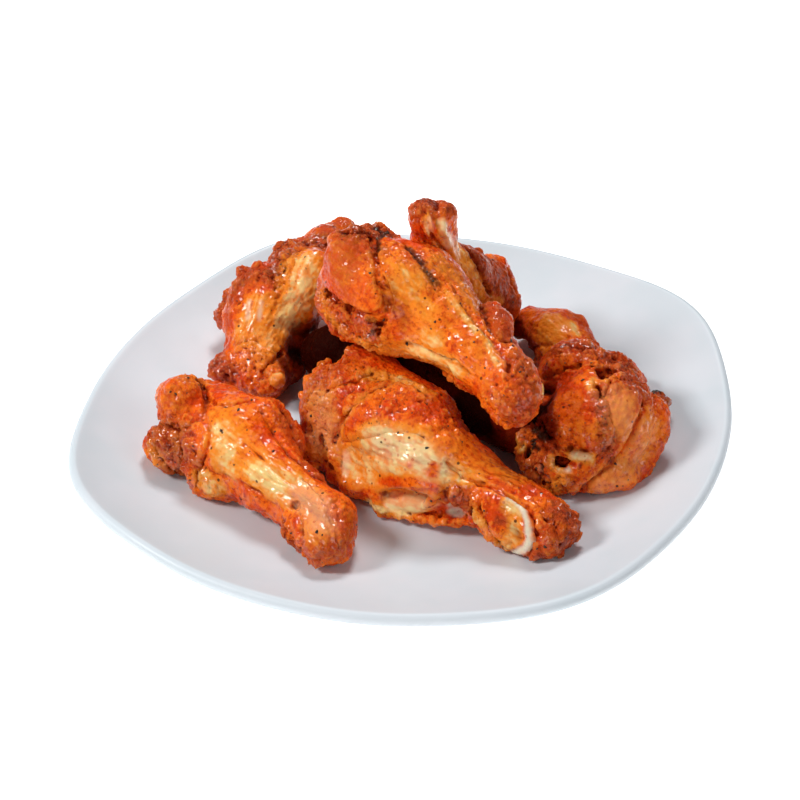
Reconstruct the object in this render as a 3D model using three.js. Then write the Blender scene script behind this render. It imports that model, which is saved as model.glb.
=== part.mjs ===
// A serving of baked chicken wings heaped on a soft square porcelain plate.
// Millimetres, +Z up. The origin is on the table under the plate's middle, and the plate's sides face X and Y.
import * as THREE from "three";

// ---- driving dimensions -------------------------------------------------------------------------

// The plate: a shallow coupe whose outline is a circle drawn out to four soft corners.
const PLATE_SIDE = 210;
const CORNER_SWELL = [0.0293, 0.0076, 0.0021]; // the outline's fourth, eighth and twelfth harmonics
const PLATE_RADIUS = PLATE_SIDE / 2 / (1 - CORNER_SWELL[0] + CORNER_SWELL[1] - CORNER_SWELL[2]);
const RIM_HEIGHT = 20; // on average: the corners stand higher than the sides
const CORNER_LIFT = [1.2, 0.4]; // the rim height's fourth and eighth harmonics
const FLOOR_HEIGHT = 6.5;
const FLOOR_SHARE = 0.5; // the share of the radius that is level
const RISE_POWER = 2.1; // how sharply the bowl turns up beyond it
const LIP_RADIUS = 1.9;
const LIP_SHARE = 1 - LIP_RADIUS / PLATE_RADIUS; // the share of the radius at the lip's centre
const LIP_TURN = 118; // the direction, in degrees, in which the bowl runs into the round lip
const PLATE_THICKNESS = 4.4;
const FOOT_SHARES = [0.6, 0.565]; // the outer and inner edge of the foot ring
const FOOT_RECESS = 1.8;
const PLATE_SEGMENTS = 48;

// The wings.
const NET_CELL = 4.1; // the spacing of the net that is laid over each wing
const CONTACT_GAP = 0.9; // between a wing and what it rests on
const CONTACT_ROUND = 3; // how softly a dent's edge is rounded
const MEAT_BLEND = 5; // how softly the meat along a bone runs together
const LOBE_BLEND = 2.2; // how softly a lobe meets the meat behind it
const CRAG_HEIGHT = 0.7;
const CRAG_PITCH = 11;

// Colours.
const PORCELAIN = { color: 0xeceef0, roughness: 0.18, metalness: 0 };
const BAKED_SKIN = { color: 0xc4501e, roughness: 0.42, metalness: 0 };

// ---- the wings' sizes ---------------------------------------------------------------------------
// Each wing lies along its own X axis, from its meaty or upper end to the other, and is pitched and
// turned onto the plate. "at" is the middle of its bone, "heading" the way X points in plan and
// "pitch" how far it points up, in degrees. "meat" holds [x, y, z, radius] of balls along the bone,
// and each lobe holds one or more such balls. The balls of a list are joined by tapered limbs.

const WINGS = {
  // A drumette, under the others.
  wing_under: {
    at: [4, -6, 18],
    heading: -17,
    pitch: -4,
    meat: [
      [-30, 2, -4, 9],
      [-20, 3, 1, 12],
      [-1, 5, 5, 14],
      [12, 7, 4, 10],
      [28, 12, 1, 7],
      [38, 10, -1, 6],
    ],
    lobes: {},
  },

  // A drumette beside the heap, with a ball of meat at its shoulder.
  wing_left: {
    at: [-30, -61, 15],
    heading: -22,
    pitch: 1,
    meat: [
      [-35, 0, 0, 9],
      [-33, 14, 4, 12],
      [-14, 12, 5, 14],
      [4, 8, 3, 10],
      [15, 8, 1, 8],
      [29, 5, 0, 9],
      [35, 0, 0, 8],
    ],
    lobes: {
      ball: [[-37, 8, 14, 8]],
      fold: [
        [-8, 19, 14, 6],
        [-1, 21, 8, 5],
      ],
      belly: [
        [-16, 0, -2, 8],
        [-9, 5, -2, 7],
      ],
    },
  },

  // The largest drumette, in front, with its skin drawn down below the bone.
  wing_front: {
    at: [24, -32, 18],
    heading: -19,
    pitch: -5,
    meat: [
      [-41, 0, 0, 14],
      [-34, 3, 3, 17],
      [-13, -1, 6, 15],
      [0, -7, 5, 12],
      [8, -2, 2, 10],
      [30, -4, 1, 9],
      [40, -3, 0, 10],
    ],
    lobes: {
      shoulder: [
        [-38, -11, -7, 8],
        [-29, -13, -6, 7],
      ],
      cushion: [
        [-20, -13, -8, 7],
        [-5, -14, 0, 6],
      ],
      skirt: [
        [-7, -14, -6, 8],
        [11, -10, -4, 6],
      ],
    },
  },

  // A flat whose tip is folded round it.
  wing_right: {
    at: [57, 4, 19],
    heading: 66,
    pitch: 14,
    meat: [
      [-17, 0, 0, 8],
      [-13, -9, 3, 13],
      [0, -10, 3, 16],
      [17, 0, 0, 10],
    ],
    lobes: {
      tip: [
        [22, -13, -9, 5],
        [5, -18, -7, 6],
        [-12, -19, -3, 9],
      ],
      bone_end: [[-21, -10, -2, 7]],
      elbow: [[9, 8, 5, 12]],
    },
  },

  // A flat behind it.
  wing_right_back: {
    at: [46, 42, 16],
    heading: -27,
    pitch: -6,
    meat: [
      [-21, 0, 0, 7],
      [-7, -1, 2, 10],
      [15, -10, 2, 10],
      [22, 0, 0, 8],
    ],
    lobes: {
      bone_end: [[-24, 4, -7, 6]],
    },
  },

  // A flat that climbs away from the front, with its tip tucked behind.
  wing_back_left: {
    at: [-52, 26, 24],
    heading: -92,
    pitch: -18,
    meat: [
      [-29, 0, 0, 10],
      [-8, 2, 5, 11],
      [2, -7, 4, 14],
      [11, -8, 2, 12],
      [29, 0, 0, 10],
    ],
    lobes: {
      flap: [
        [-5, -22, -2, 6],
        [8, -24, -2, 4],
      ],
      tip: [
        [-34, -3, 1, 5],
        [-43, 1, -2, 5],
      ],
      crest: [[-21, -10, 1, 8]],
      bone_end: [[32, -11, 4, 6]],
      other_bone_end: [[35, 9, 5, 4]],
    },
  },

  // A drumette that stands on its meaty end, leaning on the top one.
  wing_back: {
    at: [9, 31, 44],
    heading: -107,
    pitch: 62,
    meat: [
      [-36, 0, 0, 9],
      [-26, -3, 4, 11],
      [-12, -2, 6, 10],
      [4, -1, 2, 8],
      [19, -4, -2, 6],
      [26, -4, 3, 6],
      [36, 0, 0, 6],
    ],
    lobes: {
      condyle: [[37, -3, 1, 5]],
      other_condyle: [[35, 3, 5, 4]],
      flap: [
        [-15, -2, 16, 6],
        [-20, 6, 8, 6],
      ],
    },
  },

  // The drumette on top of the heap.
  wing_top: {
    at: [15, -12, 48],
    heading: -26,
    pitch: -10,
    meat: [
      [-32, 0, 0, 16],
      [-20, 2, 4, 17],
      [-16, 6, 4, 16],
      [0, 5, 4, 11],
      [14, 5, 3, 9],
      [28, 3, 2, 8],
      [33, 0, 1, 8],
    ],
    lobes: {
      thumb: [
        [-36, -5, 13, 8],
        [-28, -8, 7, 8],
      ],
      jowl: [[-30, -10, -5, 5]],
      crown: [[-37, 8, 13, 6]],
    },
  },
};

// ---- the plate ----------------------------------------------------------------------------------

// The outline's radius in a direction.
function outline(angle) {
  const [fourth, eighth, twelfth] = CORNER_SWELL;
  const swell =
    -fourth * Math.cos(4 * angle) +
    eighth * Math.cos(8 * angle) -
    twelfth * Math.cos(12 * angle);
  return PLATE_RADIUS * (1 + swell);
}

// How much higher than average the plate is at a share of the radius in a direction: the corners
// start to lift outside the foot.
function cornerLift(share, angle) {
  const [fourth, eighth] = CORNER_LIFT;
  const out = Math.max(0, (share - FOOT_SHARES[0]) / (1 - FOOT_SHARES[0]));
  return out * out * (eighth * Math.cos(8 * angle) - fourth * Math.cos(4 * angle));
}

// A point of the lip's round edge in a direction, as [share of the radius, height].
function lipPoint(degrees) {
  const turn = THREE.MathUtils.degToRad(degrees);
  return [
    LIP_SHARE + (LIP_RADIUS / PLATE_RADIUS) * Math.cos(turn),
    RIM_HEIGHT - LIP_RADIUS + LIP_RADIUS * Math.sin(turn),
  ];
}

// The average height of the plate's upper face at a share of the radius.
function plateTop(share) {
  const [lipStart, lipHeight] = lipPoint(LIP_TURN);
  const out = Math.max(0, (share - FLOOR_SHARE) / (lipStart - FLOOR_SHARE));
  return FLOOR_HEIGHT + (lipHeight - FLOOR_HEIGHT) * out ** RISE_POWER;
}

// The plate's average section, from the middle of its upper face over the lip to the middle of its
// underside, as [share of the radius, height].
function plateSection() {
  const [footOut, footIn] = FOOT_SHARES;
  const section = [[0, plateTop(0)]];
  for (const share of [0.3, 0.5, 0.6, 0.68, 0.75, 0.81, 0.87, 0.925])
    section.push([share, plateTop(share)]);
  for (let i = 0; i <= 5; i++) section.push(lipPoint(LIP_TURN - 41 * i));
  for (const share of [0.91, 0.84, 0.76, 0.68, 0.63])
    section.push([share, plateTop(share) - PLATE_THICKNESS]);
  section.push([footOut, 0]);
  section.push([footIn, 0]);
  section.push([footIn - 0.02, FOOT_RECESS]);
  section.push([0, FOOT_RECESS]);
  return section;
}

// A closed solid from a section that starts and ends on the axis, swept round the outline.
function sweepSection(section) {
  const ends = [section[0], section[section.length - 1]];
  const rings = section.slice(1, -1);
  const points = [];
  for (const [share, height] of rings)
    for (let i = 0; i < PLATE_SEGMENTS; i++) {
      const angle = (2 * Math.PI * i) / PLATE_SEGMENTS;
      const radius = share * outline(angle);
      const lifted = height + cornerLift(share, angle);
      points.push(radius * Math.cos(angle), radius * Math.sin(angle), lifted);
    }
  const top = rings.length * PLATE_SEGMENTS;
  for (const [, height] of ends) points.push(0, 0, height);
  const faces = [];
  for (let i = 0; i < PLATE_SEGMENTS; i++) {
    const next = (i + 1) % PLATE_SEGMENTS;
    faces.push(top, i, next);
    for (let ring = 0; ring < rings.length - 1; ring++) {
      const inner = ring * PLATE_SEGMENTS;
      const outer = inner + PLATE_SEGMENTS;
      faces.push(inner + i, outer + i, outer + next);
      faces.push(inner + i, outer + next, inner + next);
    }
    const last = (rings.length - 1) * PLATE_SEGMENTS;
    faces.push(top + 1, last + next, last + i);
  }
  return solidGeometry(points, faces);
}

function solidGeometry(points, faces) {
  const geometry = new THREE.BufferGeometry();
  geometry.setAttribute("position", new THREE.Float32BufferAttribute(points, 3));
  geometry.setIndex(faces);
  geometry.computeVertexNormals();
  return geometry;
}

// ---- distances ----------------------------------------------------------------------------------

// The smaller of two distances, with the corner between them rounded over a width.
function softMin(a, b, width) {
  const near = Math.max(width - Math.abs(a - b), 0) / width;
  return Math.min(a, b) - (near * near * width) / 4;
}

function softMax(a, b, width) {
  return -softMin(-a, -b, width);
}

// The distance from a point to the limb between two balls [x, y, z, radius].
function limbDistance(p, from, to) {
  const [ax, ay, az, ar] = from;
  const dx = to[0] - ax;
  const dy = to[1] - ay;
  const dz = to[2] - az;
  const along = (p.x - ax) * dx + (p.y - ay) * dy + (p.z - az) * dz;
  const length = dx * dx + dy * dy + dz * dz;
  const t = length > 0 ? THREE.MathUtils.clamp(along / length, 0, 1) : 0;
  const away = Math.hypot(p.x - ax - dx * t, p.y - ay - dy * t, p.z - az - dz * t);
  return away - ar - (to[3] - ar) * t;
}

function chainDistance(p, balls, blend) {
  if (balls.length === 1) return limbDistance(p, balls[0], balls[0]);
  let distance = limbDistance(p, balls[0], balls[1]);
  for (let i = 1; i < balls.length - 1; i++)
    distance = softMin(distance, limbDistance(p, balls[i], balls[i + 1]), blend);
  return distance;
}

// The crags of the browned skin, as a small change of distance.
function crags(p, wing) {
  const k = (2 * Math.PI) / CRAG_PITCH;
  const shift = wing.at[0] + wing.heading;
  return (
    CRAG_HEIGHT *
    Math.sin(k * p.x + 0.9 * Math.sin(k * 0.7 * p.y) + shift) *
    Math.sin(k * p.y + 0.8 * Math.sin(k * 0.6 * p.z)) *
    Math.sin(k * p.z + 1.3 * Math.sin(k * 0.5 * p.x))
  );
}

// The distance from a point in the wing's own frame to the wing as it was before it was piled up.
function wingDistance(p, wing) {
  let distance = chainDistance(p, wing.meat, MEAT_BLEND);
  for (const lobe of Object.values(wing.lobes))
    distance = softMin(distance, chainDistance(p, lobe, LOBE_BLEND), LOBE_BLEND);
  return distance + crags(p, wing);
}

// The distance from a point on the plate to the plate's upper face, positive inside the plate.
function plateDistance(p) {
  const angle = Math.atan2(p.y, p.x);
  const share = Math.hypot(p.x, p.y) / outline(angle);
  const height = plateTop(share) + cornerLift(share, angle);
  const step = 0.01;
  const slope = (plateTop(share + step) - plateTop(share)) / (step * PLATE_RADIUS);
  return (height - p.z) / Math.hypot(1, slope);
}

// ---- a net over a distance ----------------------------------------------------------------------
// The corners of a cell are numbered 0 to 7 by their bits: 1 is along X, 2 along Y and 4 along Z.

const AXES = [
  [1, 2, 4],
  [2, 4, 1],
  [4, 1, 2],
];
const EDGES = AXES.flatMap(([along, p, q]) => [0, p, q, p | q].map((a) => [a, a | along]));
const edgeBetween = (a, b) =>
  EDGES.findIndex(([c, d]) => (a === c && b === d) || (a === d && b === c));
const FACES = AXES.flatMap(([across, p, q]) =>
  [0, across].map((side) => [side, side | p, side | p | q, side | q]),
);

function cornerPoint(corner) {
  return new THREE.Vector3(corner & 1, (corner >> 1) & 1, corner >> 2);
}

// The sheets of surface in a cell, each as a list of the edges that it crosses. Two sheets that pass
// through one face are told apart by the mean of the face's corners.
function sheetsIn(values) {
  const sheetOf = EDGES.map(([a, b], i) => (values[a] < 0 !== values[b] < 0 ? i : -1));
  const join = (a, b) => {
    const [keep, drop] = [sheetOf[a], sheetOf[b]];
    sheetOf.forEach((sheet, i) => {
      if (sheet === drop) sheetOf[i] = keep;
    });
  };
  for (const face of FACES) {
    const edges = face.map((corner, i) => edgeBetween(corner, face[(i + 1) % 4]));
    const crossed = edges.filter((edge) => sheetOf[edge] >= 0);
    if (crossed.length === 2) join(...crossed);
    if (crossed.length < 4) continue;
    const mean = face.reduce((sum, corner) => sum + values[corner], 0);
    face.forEach((corner, i) => {
      if (values[corner] < 0 === mean >= 0) join(edges[(i + 3) % 4], edges[i]);
    });
  }
  const sheets = [...new Set(sheetOf)].filter((sheet) => sheet >= 0);
  return sheets.map((sheet) => sheetOf.flatMap((own, edge) => (own === sheet ? [edge] : [])));
}

// A closed mesh on the zero of a distance: one point for each sheet of surface in each cell, pulled
// onto the surface, and two triangles across each grid line that the surface crosses.
function netGeometry(distance, box, cell) {
  const counts = box
    .getSize(new THREE.Vector3())
    .toArray()
    .map((length) => Math.ceil(length / cell) + 1);
  const stride = { 1: 1, 2: counts[0], 4: counts[0] * counts[1] };
  const total = counts[0] * counts[1] * counts[2];
  const place = (node) =>
    new THREE.Vector3(
      node % counts[0],
      Math.floor(node / stride[2]) % counts[1],
      Math.floor(node / stride[4]),
    )
      .multiplyScalar(cell)
      .add(box.min);
  const step = (corner) =>
    (corner & 1) * stride[1] + ((corner >> 1) & 1) * stride[2] + (corner >> 2) * stride[4];
  const steps = [0, 1, 2, 3, 4, 5, 6, 7].map(step);
  const values = new Float64Array(total);
  for (let node = 0; node < total; node++) values[node] = distance(place(node));

  const points = [];
  const pointOf = new Map();
  for (let node = 0; node + steps[7] < total; node++) {
    const corner = steps.map((offset) => values[node + offset]);
    const inside = corner.filter((value) => value < 0).length;
    if (inside === 0 || inside === 8) continue;
    for (const sheet of sheetsIn(corner)) {
      const p = new THREE.Vector3();
      for (const edge of sheet) {
        const [a, b] = EDGES[edge];
        const t = corner[a] / (corner[a] - corner[b]);
        p.add(cornerPoint(a).lerp(cornerPoint(b), t));
        pointOf.set(node * 12 + edge, points.length / 3);
      }
      const corner0 = place(node);
      p.multiplyScalar(cell / sheet.length).add(corner0);
      pullToSurface(p, distance, corner0, cell);
      points.push(p.x, p.y, p.z);
    }
  }

  const faces = [];
  const gap = (a, b) =>
    Math.hypot(...[0, 1, 2].map((axis) => points[3 * a + axis] - points[3 * b + axis]));
  for (let node = steps[7]; node + steps[7] < total; node++)
    for (const [along, p, q] of AXES) {
      const here = values[node] < 0;
      if (here === values[node + stride[along]] < 0) continue;
      const ring = [p | q, q, 0, p].map((a) =>
        pointOf.get((node - steps[a]) * 12 + edgeBetween(a, a | along)),
      );
      if (!here) ring.reverse();
      const [a, b, c, d] = ring;
      if (gap(a, c) <= gap(b, d)) faces.push(a, b, c, a, c, d);
      else faces.push(b, c, d, b, d, a);
    }
  return solidGeometry(points, faces);
}

// Moves a point onto the surface without leaving its cell.
function pullToSurface(p, distance, corner, cell) {
  const step = 0.05;
  const margin = 0.04 * cell;
  for (let round = 0; round < 4; round++) {
    const d = distance(p);
    const slope = new THREE.Vector3();
    for (const axis of ["x", "y", "z"]) {
      const q = p.clone();
      q[axis] += step;
      slope[axis] = (distance(q) - d) / step;
    }
    p.addScaledVector(slope, -d / Math.max(slope.lengthSq(), 0.2));
    for (const axis of ["x", "y", "z"])
      p[axis] = THREE.MathUtils.clamp(
        p[axis],
        corner[axis] + margin,
        corner[axis] + cell - margin,
      );
  }
}

// ---- the wings on the plate ---------------------------------------------------------------------

// The wing's frame on the plate: X along the bone, Y level.
function wingMatrix(wing) {
  const turn = new THREE.Euler(
    0,
    THREE.MathUtils.degToRad(-wing.pitch),
    THREE.MathUtils.degToRad(wing.heading),
    "ZYX",
  );
  return new THREE.Matrix4()
    .makeRotationFromEuler(turn)
    .setPosition(new THREE.Vector3(...wing.at));
}

function wingBox(wing) {
  const box = new THREE.Box3();
  for (const [x, y, z, radius] of [...wing.meat, ...Object.values(wing.lobes).flat()]) {
    const centre = new THREE.Vector3(x, y, z);
    box.expandByPoint(centre.clone().addScalar(radius));
    box.expandByPoint(centre.addScalar(-radius));
  }
  return box.expandByScalar(MEAT_BLEND + 2 * NET_CELL);
}

// The wing, dented by the plate and by the wings that it lies on.
function makeWing(name, wing, below) {
  const matrix = wingMatrix(wing);
  const supports = below.map((other) => ({
    wing: other,
    toOther: wingMatrix(other).invert().multiply(matrix),
  }));
  const distance = (p) => {
    let d = wingDistance(p, wing);
    for (const { wing: other, toOther } of supports) {
      const q = p.clone().applyMatrix4(toOther);
      d = softMax(d, CONTACT_GAP - wingDistance(q, other), CONTACT_ROUND);
    }
    const intoPlate = CONTACT_GAP + plateDistance(p.clone().applyMatrix4(matrix));
    return softMax(d, intoPlate, CONTACT_ROUND);
  };
  const geometry = netGeometry(distance, wingBox(wing), NET_CELL);
  const mesh = new THREE.Mesh(geometry, new THREE.MeshStandardMaterial(BAKED_SKIN));
  mesh.name = name;
  mesh.applyMatrix4(matrix);
  return mesh;
}

// ---- the serving --------------------------------------------------------------------------------

const serving = new THREE.Group();

const plate = new THREE.Mesh(
  sweepSection(plateSection()),
  new THREE.MeshStandardMaterial(PORCELAIN),
);
plate.name = "plate";
serving.add(plate);

const laid = [];
for (const [name, wing] of Object.entries(WINGS)) {
  serving.add(makeWing(name, wing, laid));
  laid.push(wing);
}

export default serving;
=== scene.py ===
"""A serving of baked chicken wings heaped on a soft square porcelain plate."""
import math

import bmesh
import bpy
import numpy as np
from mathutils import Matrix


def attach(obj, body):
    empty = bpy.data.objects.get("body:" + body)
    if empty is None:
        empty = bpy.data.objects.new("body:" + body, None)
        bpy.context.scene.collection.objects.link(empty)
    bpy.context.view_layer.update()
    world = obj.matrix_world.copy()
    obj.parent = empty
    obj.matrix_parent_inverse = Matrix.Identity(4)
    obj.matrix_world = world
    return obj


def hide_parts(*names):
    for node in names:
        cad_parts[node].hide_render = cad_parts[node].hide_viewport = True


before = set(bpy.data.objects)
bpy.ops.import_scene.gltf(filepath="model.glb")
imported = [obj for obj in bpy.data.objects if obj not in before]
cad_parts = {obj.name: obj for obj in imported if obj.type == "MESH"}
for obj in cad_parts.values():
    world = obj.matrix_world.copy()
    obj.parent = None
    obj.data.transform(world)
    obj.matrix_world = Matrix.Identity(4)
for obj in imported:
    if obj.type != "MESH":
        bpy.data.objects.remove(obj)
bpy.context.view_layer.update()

import openvdb as vdb
from mathutils import Matrix, Vector
from mathutils.bvhtree import BVHTree

MM = 0.001
BEYOND = 1e9  # farther than anything here

# ---- the photograph's view ----------------------------------------------------------------------
# Lengths are in millimetres, angles in degrees and pixels in the photograph's 800 x 800 frame.

PHOTO_SIDE = 800
VIEW_TARGET = np.array([0.0, 0.0, 20.0])
VIEW_DISTANCE = 454.0
VIEW_AZIMUTH = 21.72
VIEW_ELEVATION = 35.28
VIEW_ROLL = -2.01
VIEW_FOCAL = 1374.07  # in pixels
TARGET_PIXEL = (406.72, 388.13)
SENSOR = 36.0


def view_axes():
    """The camera's place and its right, up and forward directions."""
    turn, tilt, roll = (math.radians(a) for a in (VIEW_AZIMUTH, VIEW_ELEVATION, VIEW_ROLL))
    back = np.array([
        math.sin(turn) * math.cos(tilt), -math.cos(turn) * math.cos(tilt), math.sin(tilt)])
    level = np.array([math.cos(turn), math.sin(turn), 0.0])
    upright = np.cross(level, -back)
    right = level * math.cos(roll) + upright * math.sin(roll)
    up = upright * math.cos(roll) - level * math.sin(roll)
    return VIEW_TARGET + back * VIEW_DISTANCE, right, up, -back


EYE, RIGHT, UP, FORWARD = view_axes()


def sight(x, y):
    """The direction in which the photograph's pixel looks."""
    line = FORWARD + RIGHT * (x - TARGET_PIXEL[0]) / VIEW_FOCAL
    line = line - UP * (y - TARGET_PIXEL[1]) / VIEW_FOCAL
    return line / np.linalg.norm(line)


# ---- noise --------------------------------------------------------------------------------------

SEEDED = np.random.default_rng(7)
NOISE_SLOTS = 4096
SLOPES = SEEDED.normal(size=(NOISE_SLOTS, 3))
SLOPES /= np.linalg.norm(SLOPES, axis=1)[:, None]
JITTERS = SEEDED.random((NOISE_SLOTS, 3))
CELL_PRIMES = (73856093, 19349663, 83492791)
SEED_PRIME = 7919
WAVE_GAIN = 1.6  # brings gradient noise to about -1 to 1
OCTAVES = 3
OCTAVE_FALL = 1.7  # each octave is this much lower than the last


def slot_of(cell, seed):
    """Which of the random values a cell of space has."""
    x, y, z = (cell[..., axis] * prime for axis, prime in enumerate(CELL_PRIMES))
    return ((x ^ y ^ z) + seed * SEED_PRIME) % NOISE_SLOTS


def waves(points, pitch, seed):
    """Smooth gradient noise of one size, about -1 to 1."""
    scaled = points / pitch
    cell = np.floor(scaled).astype(np.int64)
    part = scaled - cell
    ease = part ** 3 * (part * (part * 6 - 15) + 10)
    total = 0
    for corner in np.ndindex(2, 2, 2):
        step = np.array(corner)
        slope = SLOPES[slot_of(cell + step, seed)]
        weight = np.prod(np.where(step == 1, ease, 1 - ease), axis=1)
        total = total + weight * np.sum(slope * (part - step), axis=1)
    return total * WAVE_GAIN


def rough(points, pitch, seed):
    """Noise of several sizes, each half the last."""
    return sum(waves(points, pitch / 2 ** i, seed + i) / OCTAVE_FALL ** i for i in range(OCTAVES))


def drift(points, pitch, seed):
    """Noise that is a direction."""
    return np.stack([waves(points, pitch, seed + i) for i in range(3)], 1)


def grains(points, pitch, seed):
    """How far each point is from the nearest grain, in pitches, and that grain's number."""
    scaled = points / pitch
    cell = np.floor(scaled).astype(np.int64)
    nearest = np.full(len(points), BEYOND)
    number = np.zeros(len(points), np.int64)
    for offset in np.ndindex(3, 3, 3):
        other = cell + np.array(offset) - 1
        slot = slot_of(other, seed)
        away = np.linalg.norm(other + JITTERS[slot] - scaled, axis=1)
        closer = away < nearest
        nearest = np.where(closer, away, nearest)
        number = np.where(closer, slot, number)
    return nearest, number


def smooth(low, high, value):
    """A soft step from 0 at low to 1 at high."""
    t = np.clip((value - low) / (high - low), 0, 1)
    return t * t * (3 - 2 * t)


# ---- meshes -------------------------------------------------------------------------------------


def node_mesh(name):
    """A CAD node's corners in millimetres, and its triangles."""
    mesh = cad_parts[name].data
    mesh.calc_loop_triangles()
    corners = np.zeros(len(mesh.vertices) * 3, np.float32)
    mesh.vertices.foreach_get("co", corners)
    triangles = np.zeros(len(mesh.loop_triangles) * 3, np.int32)
    mesh.loop_triangles.foreach_get("vertices", triangles)
    return corners.reshape(-1, 3).astype(float) / MM, triangles.reshape(-1, 3)


def gathered(faces, values, count):
    """For each of a mesh's points, the sum of what the quads round it hold."""
    total = np.zeros((count, 3))
    for axis in range(3):
        for i in range(4):
            total[:, axis] += np.bincount(faces[:, i], values[:, axis], count)
    return total


def corner_normals(points, faces):
    """The mean normal at each point of a mesh of quads."""
    a, b, c, d = (points[faces[:, i]] for i in range(4))
    total = gathered(faces, np.cross(c - a, d - b), len(points))
    return total / np.maximum(np.linalg.norm(total, axis=1), 1e-9)[:, None]


def levelled(points, faces, rounds):
    """The points after each has moved some rounds towards the middles of the faces round it."""
    count = np.bincount(faces.ravel(), minlength=len(points))[:, None]
    for _ in range(rounds):
        points = gathered(faces, points[faces].mean(1), len(points)) / np.maximum(count, 1)
    return points


def add_piece(name, points, faces, material, layers=None):
    """A smooth mesh in the scene, from points in millimetres."""
    mesh = bpy.data.meshes.new(name)
    faces = np.asarray(faces)
    sides = faces.shape[1]
    mesh.vertices.add(len(points))
    mesh.vertices.foreach_set("co", (np.asarray(points) * MM).astype(np.float32).ravel())
    mesh.loops.add(faces.size)
    mesh.loops.foreach_set("vertex_index", faces.astype(np.int32).ravel())
    mesh.polygons.add(len(faces))
    mesh.polygons.foreach_set("loop_start", np.arange(0, faces.size, sides, dtype=np.int32))
    for layer, values in (layers or {}).items():
        stored = mesh.attributes.new(layer, "FLOAT", "POINT")
        stored.data.foreach_set("value", values.astype(np.float32))
    mesh.update(calc_edges=True)
    mesh.validate()
    mesh.shade_smooth()
    mesh.materials.append(material)
    piece = bpy.data.objects.new(name, mesh)
    bpy.context.scene.collection.objects.link(piece)
    return piece


# ---- a wing's body ------------------------------------------------------------------------------

VOXEL = 0.42
BAND = 4.5  # how far from the surface the distances are kept
ROUNDING = 1.5  # how softly the CAD solid's facets are rounded
SWELL = 0.35  # what the rounding takes away
MARGIN = 7.0
PATH_STEP = 3.0  # pixels between the points of a path
SEARCH = range(-40, 41, 2)  # places along a line of sight that misses the solid


def blurred(field, radius):
    """The field under a bell-shaped blur along each axis."""
    reach = int(math.ceil(radius * 2.5))
    bell = np.exp(-0.5 * (np.arange(-reach, reach + 1) / radius) ** 2)
    bell /= bell.sum()
    for axis in range(3):
        padded = np.pad(field, [(reach, reach) if a == axis else (0, 0) for a in range(3)], "edge")
        total = 0
        for i, weight in enumerate(bell):
            part = [slice(None)] * 3
            part[axis] = slice(i, i + field.shape[axis])
            total = total + padded[tuple(part)] * np.float32(weight)
        field = total
    return field


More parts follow.
